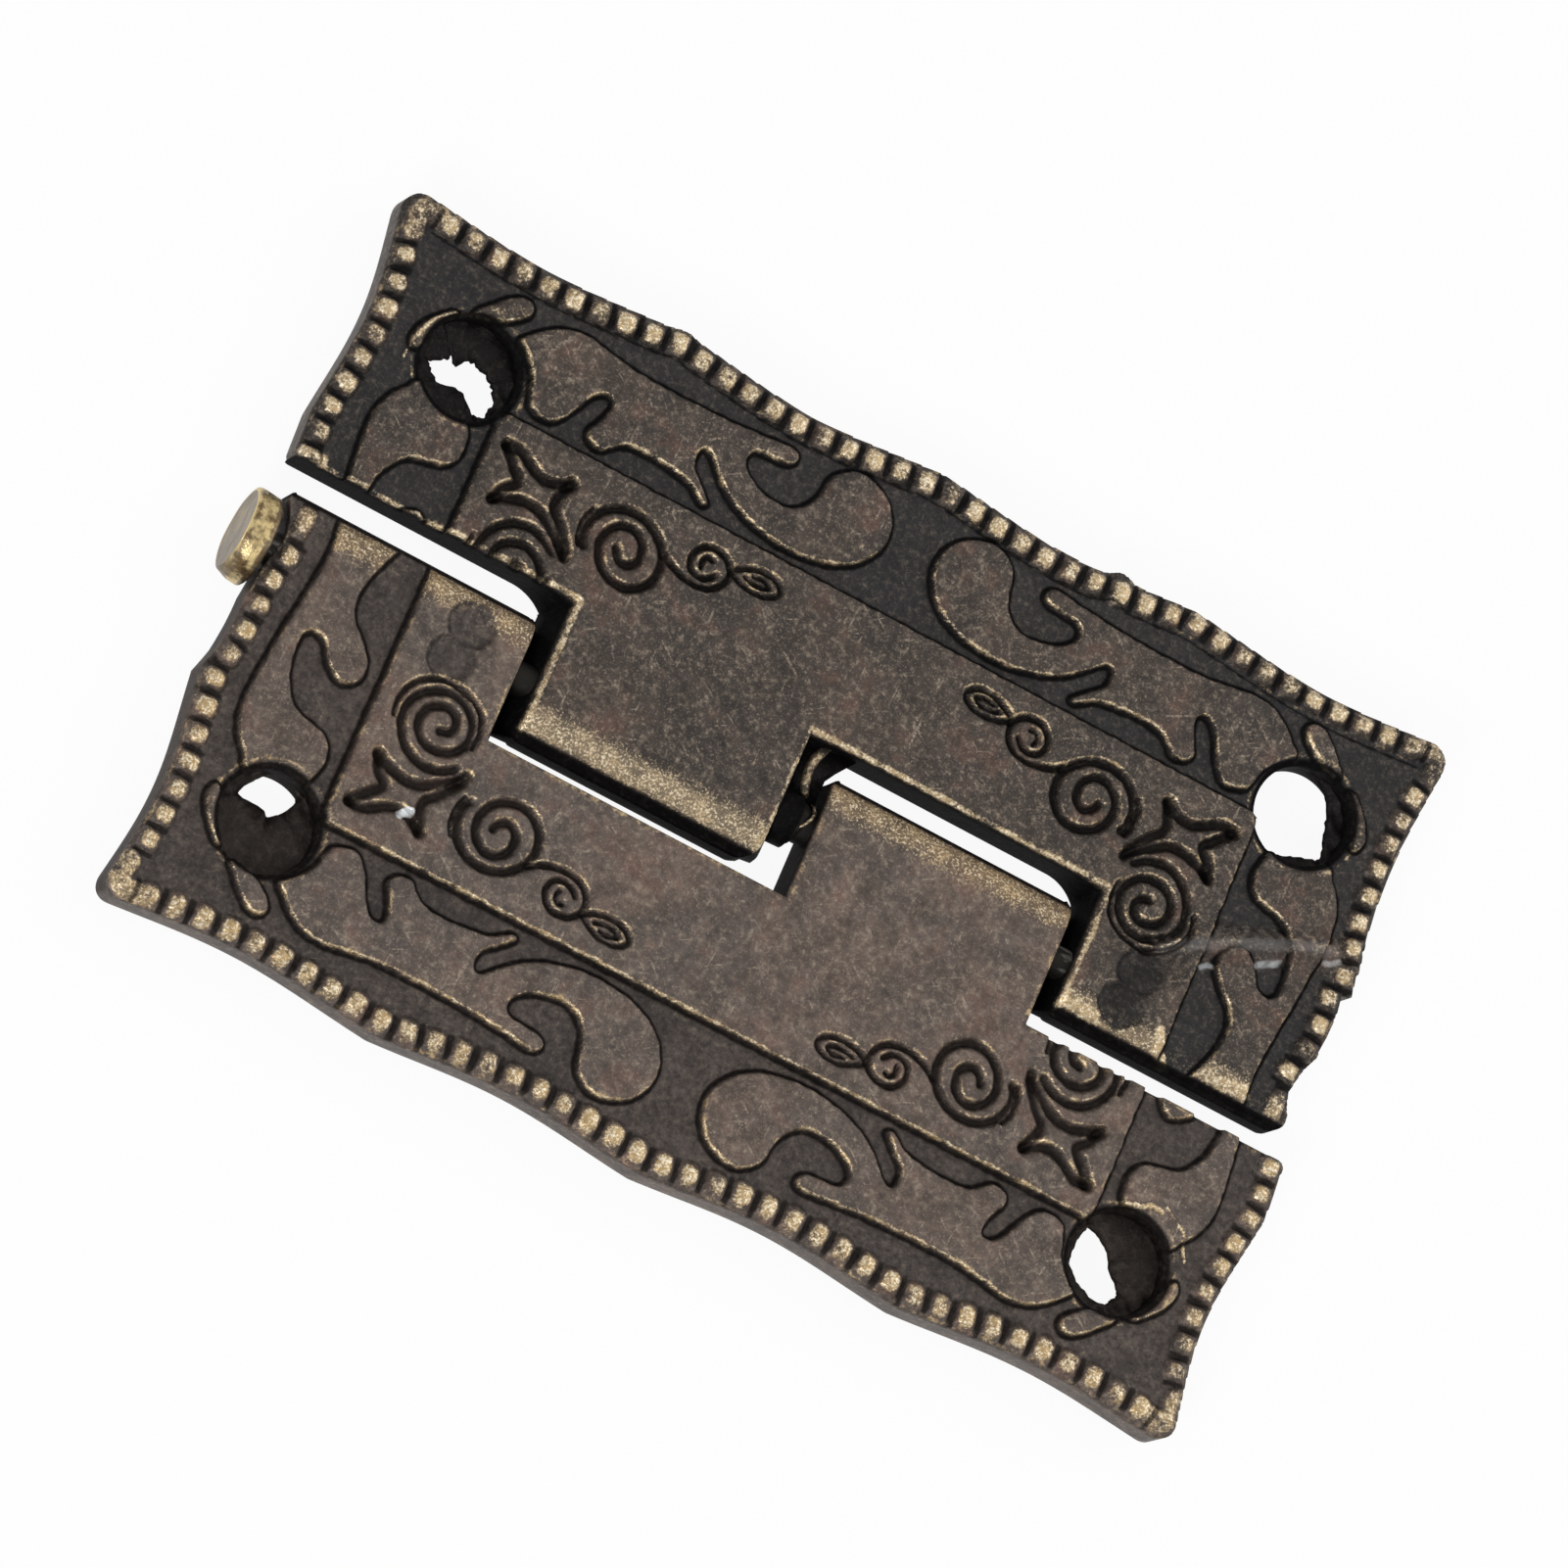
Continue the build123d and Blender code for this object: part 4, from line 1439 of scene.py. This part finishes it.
@dataclass
class Pin:
    """Headed pin: a scuffed face, a bright rim and a dented side on a plain shank."""

    name: str = "pin"
    shank_radius: float = 0.76
    head_radius: float = 2.1
    face_radius: float = 1.96
    face_x: float = -27.2
    seat_x: float = -25.95
    tip_x: float = 25.0
    turns: int = 96
    shank_rings: int = 90
    face_rings: tuple[float, ...] = (0.35, 0.7, 1.05, 1.4, 1.7)
    side_rings: tuple[float, ...] = (0.26, 0.36, 0.48, 0.6, 0.75, 0.9)
    side_wear_and_sheen: float = 0.62

    def profile(self) -> list[tuple[float, float, float, float]]:
        """Stations along the pin.

        Returns:
            x, radius, wear and dark of each station.
        """
        stations = [(self.face_x + 0.02, r, 0.0, 0.0) for r in self.face_rings]
        stations += [(self.face_x, 1.84, 0.1, 0.0), (self.face_x, self.face_radius, 1.0, 0.0)]
        for i in range(4):
            a = math.pi / 2 * i / 3
            x = self.face_x + 0.03 + 0.15 * (1 - math.cos(a))
            stations.append((x, self.face_radius + 0.04 + 0.1 * math.sin(a), 0.95 - 0.16 * i, 0.0))
        # the side: rubbed brass that also paints highlights
        stations += [(self.face_x + s, self.head_radius, self.side_wear_and_sheen, 0.0) for s in self.side_rings]
        for i in range(4):
            a = math.pi / 2 * i / 3
            x = self.seat_x - 0.2 + 0.2 * math.sin(a)
            stations.append((x, self.head_radius - 0.25 * (1 - math.cos(a)), 0.1, 0.2 + 0.2 * i))
        stations += [(self.seat_x, 1.2, 0.0, 0.9), (self.seat_x, self.shank_radius, 0.0, 0.9)]
        steps = np.linspace(self.seat_x + 0.2, self.tip_x - 0.15, self.shank_rings)
        stations += [(float(s), self.shank_radius, 0.0, 1.0) for s in steps]
        stations.append((self.tip_x - 0.04, self.shank_radius - 0.04, 0.3, 0.4))
        stations.append((self.tip_x, self.shank_radius - 0.16, 0.2, 0.4))
        return stations

    def build(self, finish: bpy.types.Material) -> bpy.types.Object:
        """Makes the pin and lets it stand for its solid.

        Args:
            finish: the brass finish.

        Returns:
            The piece.
        """
        parts = MeshParts()
        rings: list[list[int]] = []
        for x, radius, wear, dark in self.profile():
            ring = []
            for k in range(self.turns):
                a = 2 * math.pi * k / self.turns
                dent = 0.01 * math.sin(3 * a + 2.3 * x) + 0.008 * math.sin(7 * a + 2.0 - 4.1 * x)
                r = radius * (1 - 0.022 + dent) if x < self.seat_x + 0.01 else radius
                near_rim = ease(1.2, 1.84, radius) * (1 - ease(0.0, 0.6, x - self.face_x))
                low = max(0.0, -math.cos(a)) * near_rim
                r -= 0.2 * low
                place = (x, r * math.cos(a), AXIS_HEIGHT + r * math.sin(a))
                side = float(radius > self.face_radius)
                ring.append(parts.point(place, wear=wear * (1 - 0.7 * low), dark=dark, level=side))
            rings.append(ring)
        for first, second in zip(rings, rings[1:]):
            parts.band(second, first)
        parts.faces.append(tuple(rings[0]))
        parts.faces.append(tuple(reversed(rings[-1])))
        piece = parts.build(self.name, finish)
        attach(piece, "lower")
        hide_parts("hinge_pin")
        return piece


@dataclass
class Studio:
    """Pale floor, soft lamps and the camera."""

    floor_level: float = -0.92
    eye: Place = (-118.167, -131.285, 427.682)
    right: Place = (0.85493, 0.3798, 0.35334)
    down: Place = (0.45227, -0.87933, -0.14912)
    ahead: Place = (0.25406, 0.28729, -0.92353)
    lens: float = 247.89
    sensor: float = 36.0
    floor_half: float = 3.0
    room_light: float = 0.5
    key_lamp: tuple[Place, float, float] = ((-0.22, -0.42, 0.42), 0.22, 1.6)
    fill_lamp: tuple[Place, float, float] = ((0.40, 0.25, 0.45), 0.45, 0.9)

    def build_floor(self) -> None:
        """Lays the floor."""
        mesh = bpy.data.meshes.new("floor")
        s, z = self.floor_half, self.floor_level * MM
        mesh.from_pydata([(-s, -s, z), (s, -s, z), (s, s, z), (-s, s, z)], [], [(0, 1, 2, 3)])
        mesh.materials.append(PaleFloor().build("pale_floor"))
        floor = bpy.data.objects.new("floor", mesh)
        bpy.context.scene.collection.objects.link(floor)

    def build_lamp(self, name: str, place: Place, size: float, power: float) -> None:
        """Hangs a soft lamp that points at the hinge.

        Args:
            name: name of the lamp.
            place: where it hangs, in metres.
            size: side of its face.
            power: its power in watts.
        """
        data = bpy.data.lights.new(name, "AREA")
        data.shape = "SQUARE"
        data.size = size
        data.energy = power
        lamp = bpy.data.objects.new(name, data)
        lamp.location = place
        lamp.rotation_euler = (-Vector(place)).to_track_quat("-Z", "Y").to_euler()
        bpy.context.scene.collection.objects.link(lamp)

    def build_world(self) -> None:
        """Fills the room with even white light."""
        world = bpy.data.worlds.new("room")
        world.use_nodes = True
        bpy.context.scene.world = world
        s = Sheet(world.node_tree)
        room = s.node("ShaderNodeBackground", {}, {"Color": WHITE, "Strength": self.room_light})
        plain = s.node("ShaderNodeBackground", {}, {"Color": WHITE, "Strength": 1.0})
        s.blend(s.seen(), room.outputs[0], plain.outputs[0], "ShaderNodeOutputWorld")

    def build_camera(self) -> None:
        """Sets the camera at the photographed angle."""
        data = bpy.data.cameras.new("camera")
        data.sensor_width = self.sensor
        data.lens = self.lens
        data.clip_start, data.clip_end = 0.01, 20.0
        camera = bpy.data.objects.new("camera", data)
        turn = Matrix([self.right, [-c for c in self.down], [-c for c in self.ahead]]).transposed()
        camera.matrix_world = Matrix.Translation(Vector(self.eye) * MM) @ turn.to_4x4()
        bpy.context.scene.collection.objects.link(camera)
        bpy.context.scene.camera = camera

    def build(self) -> None:
        """Makes the floor, the lamps, the room light and the camera."""
        self.build_floor()
        self.build_world()
        self.build_lamp("key_lamp", *self.key_lamp)
        self.build_lamp("fill_lamp", *self.fill_lamp)
        self.build_camera()
        bpy.context.scene.view_settings.view_transform = "Standard"


def lower_leaf() -> Leaf:
    """The near leaf, with the flaws of its casting."""
    plan = LeafPlan(
        ShortEdge(
            (26.28, 6.2),
            26.45,
            0.62,
            False,
            ((-5.0, 0.0), (-3.6, 0.18), (-2.4, 0.36), (-1.2, 0.38), (-0.3, 0.2), (0.5, 0.0)),
        ),
        ShortEdge((26.42, 6.2), 26.42, 0.74, True),
        (
            Notch(-13.88, 0.96, 3.43, (1.3, 0.6), (0.5, 0.06), 0.5),
            Notch(12.92, 40.0, 3.47, worn=0.5),
        ),
        left_lift=0.16,
        wall_feet=(0.3, 0.05),
        wall_level=0.7,
        left_shade=0.42,
        corner_round=0.95,
        knuckle_reach=2.54,
        outer_reach=2.56,
    )
    webs = (
        Flash(
            (-21.0, -10.9),
            (
                (-22.4, -10.1), (-22.0, -9.3), (-21.55, -8.8), (-20.75, -8.55), (-20.0, -9.15),
                (-20.3, -9.95), (-20.85, -10.4), (-21.3, -10.22),
            ),
        ),
        Flash(
            (21.0, -10.9),
            (
                (19.5, -9.78), (20.1, -9.87), (20.8, -10.36), (21.18, -11.02), (21.69, -11.46),
                (21.92, -11.88), (21.7, -12.22), (21.58, -12.51), (20.94, -12.52), (19.98, -12.15),
                (19.44, -11.65), (19.28, -11.12), (19.32, -10.48),
            ),
        ),
    )
    marks = (
        Mark(((-16.05, -8.1), (-15.65, -7.75)), 0.42, 0.12, Channel.CHIP, 1.0),
        Mark(((20.07, -8.53), (20.79, -8.32), (21.39, -8.03), (21.83, -8.12)), 0.3, 0.1, Channel.WEAR, 0.85),
        Mark(((21.95, -7.8), (22.59, -8.17), (23.26, -8.69), (23.75, -9.52)), 0.17, 0.06, Channel.WEAR, 0.8),
        Mark(((-22.5, -12.7), (-22.1, -12.85), (-21.8, -12.95)), 0.16, 0.06, Channel.WEAR, 0.8),
    )
    return Leaf("lower_leaf_cast", "lower_leaf", "lower", False, plan, webs, marks=marks)


def upper_leaf() -> Leaf:
    """The far leaf, with the flaws of its casting, in the lower leaf's place before its half turn."""
    plan = LeafPlan(
        ShortEdge(
            (26.06, 4.6),
            26.3,
            0.5,
            False,
            (
                (-6.5, 0.0), (-4.6, 0.15), (-3.5, 0.5), (-2.5, 0.63), (-1.4, 0.68), (-0.7, 0.4),
                (0.5, 0.12), (1.5, 0.2), (2.6, -0.2),
            ),
        ),
        ShortEdge((26.5, 6.1), 26.72, 0.6, True),
        (
            Notch(-13.95, 0.98, 3.68, (2.1, 2.4)),
            Notch(12.68, 40.0, 3.96, (2.4, 1.3), (0.8, 0.5)),
        ),
        corner=(26.6, 16.85),
        left_lift=0.06,
        right_lift=-0.12,
        nubs=((-9.2, 0.32), (13.0, 0.12)),
        knuckle_reach=2.62,
        outer_reach=2.36,
        knuckle_corner=0.8,
    )
    webs = (
        Flash(
            (21.0, -10.9),
            (
                (22.59, -10.75), (21.85, -11.26), (21.74, -11.56), (21.43, -11.13), (20.9, -11.58),
                (20.13, -11.46), (19.47, -10.97), (19.22, -10.26), (19.4, -9.57), (19.97, -9.5),
                (20.26, -9.07), (20.5, -9.34), (20.3, -9.81), (20.61, -10.12), (21.13, -10.21),
                (21.9, -10.04), (22.17, -10.37),
            ),
            0.13,
        ),
        Flash(
            (-21.0, -10.9),
            (
                (-19.57, -12.83), (-20.64, -13.13), (-21.66, -12.86), (-22.28, -12.0), (-22.6, -11.0),
                (-22.85, -9.9), (-22.0, -9.55), (-20.95, -9.12), (-19.9, -9.05), (-19.02, -9.65),
                (-18.7, -10.4), (-18.56, -11.38), (-18.88, -12.25),
            ),
        ),
    )
    smear = ((-17.2, -2.4), (-18.4, -3.15), (-21.0, -4.55), (-22.9, -5.4), (-24.6, -6.0))
    marks = (
        Mark(((-17.6, -2.8), (-19.4, -3.8), (-22.3, -4.95), (-25.6, -6.2)), 1.5, 0.22, Channel.LEVEL, 1.0),
        Mark(smear, 1.0, 0.06, Channel.CHIP, 0.385),
        Mark(smear, 0.9, 0.0, Channel.WEAR, 0.3),
        Mark(((25.2, -4.2), (26.1, -4.25)), 0.6, 0.0, Channel.WEAR, 0.85),
        Mark(((21.2, -13.6), (20.0, -14.15)), 0.7, 0.05, Channel.WEAR, 0.55),
        Mark(((23.9, -10.0), (23.8, -11.1), (23.2, -12.3), (21.8, -13.15)), 0.2, 0.04, Channel.WEAR, 0.75),
        Mark(((-16.4, 0.9), (-16.9, -1.3), (-18.2, -1.7)), 2.0, 0.0, Channel.DARK, 0.44),
        Mark(((-21.6, -3.85), (-22.5, -4.36)), 0.5, 0.03, Channel.CHIP, 0.5),
        Mark(((-19.3, -2.62), (-19.7, -2.86)), 0.4, 0.03, Channel.CHIP, 0.5),
        Mark(((-24.4, -5.3), (-25.0, -5.65)), 0.42, 0.03, Channel.CHIP, 0.48),
        Mark(((-13.9, 1.7), (-15.6, 1.75)), 0.8, 0.0, Channel.WEAR, 0.9),
        Mark(((-18.6, 1.0), (-18.9, 1.6), (-19.4, 2.1)), 0.6, 0.04, Channel.WEAR, 0.95),
        Mark(((-21.6, 1.7), (-23.3, 1.6)), 0.7, 0.0, Channel.WEAR, 0.85),
    )
    # the round bosses and the sheet are painted dark as the shade of the centre gap
    burrs = (
        Burr(((1.0, 0.0, 1.2), (-0.1, 0.0, 1.2)), (1.25, 1.2), 0.0, 0.95, 48),
        GapShadeSheet(
            ((0.98, -3.68), (0.98, -0.85), (-0.75, -0.85), (-0.75, -2.3), (-1.05, -2.8), (-1.7, -3.68)),
            0.2,
            1.3,
        ),
        Burr(
            (
                (-0.26, -3.66, 1.42), (-0.08, -3.36, 1.5), (0.1, -2.95, 1.5), (0.16, -2.5, 1.5),
                (0.14, -2.1, 1.5), (0.05, -1.7, 1.5), (-0.06, -1.42, 1.46), (-0.22, -1.22, 1.4),
            ),
            (0.19, 0.22, 0.23, 0.22, 0.22, 0.21, 0.2, 0.14),
            0.5,
            0.0,
        ),
        Burr(((-0.05, 0.0, 1.2), (-0.3, 0.0, 1.2), (-0.5, 0.05, 1.2)), (1.08, 1.02, 0.9), 0.1, 0.62, 48),
        Burr(
            (
                (0.3, 0.8, 1.78), (0.02, 0.55, 2.02), (-0.4, 0.15, 2.14), (-0.64, -0.25, 2.12),
                (-0.74, -0.6, 1.98), (-0.7, -0.93, 1.62), (-0.56, -1.05, 1.42),
            ),
            (0.04, 0.06, 0.08, 0.08, 0.08, 0.07, 0.04),
            0.6,
            0.0,
        ),
    )
    ornament = Ornament(border_line=True)
    return Leaf("upper_leaf_cast", "upper_leaf", "upper", True, plan, webs, ornament, marks, burrs)


def main() -> None:
    """Builds the leaves, the pin and the studio, and notes the sizes."""
    logging.basicConfig(level=logging.INFO, format="%(message)s")
    near = AntiqueBronze().build("antique_bronze_near")
    # darker copy for the far leaf: painted shade of the light falling off towards it, with its own brass and
    # gilt
    shaded_copy = AntiqueBronze(
        field_tone=(38, 36, 36),
        field_warm=(44, 41, 40),
        top_tone=(64, 57, 52),
        top_warm=(74, 64, 57),
        brass=(178, 154, 116),
        gilt=(182, 162, 132),
    )
    far = shaded_copy.build("antique_bronze_far_shaded")
    brass = TumbledBrass().build("tumbled_brass")
    for leaf, bronze in ((lower_leaf(), near), (upper_leaf(), far)):
        piece = leaf.build(bronze)
        LOG.info("%s: %d faces", piece.name, len(piece.data.polygons))
    pin = Pin().build(brass)
    LOG.info("%s: %d faces", pin.name, len(pin.data.polygons))
    Studio().build()


if __name__ == "__main__":
    main()
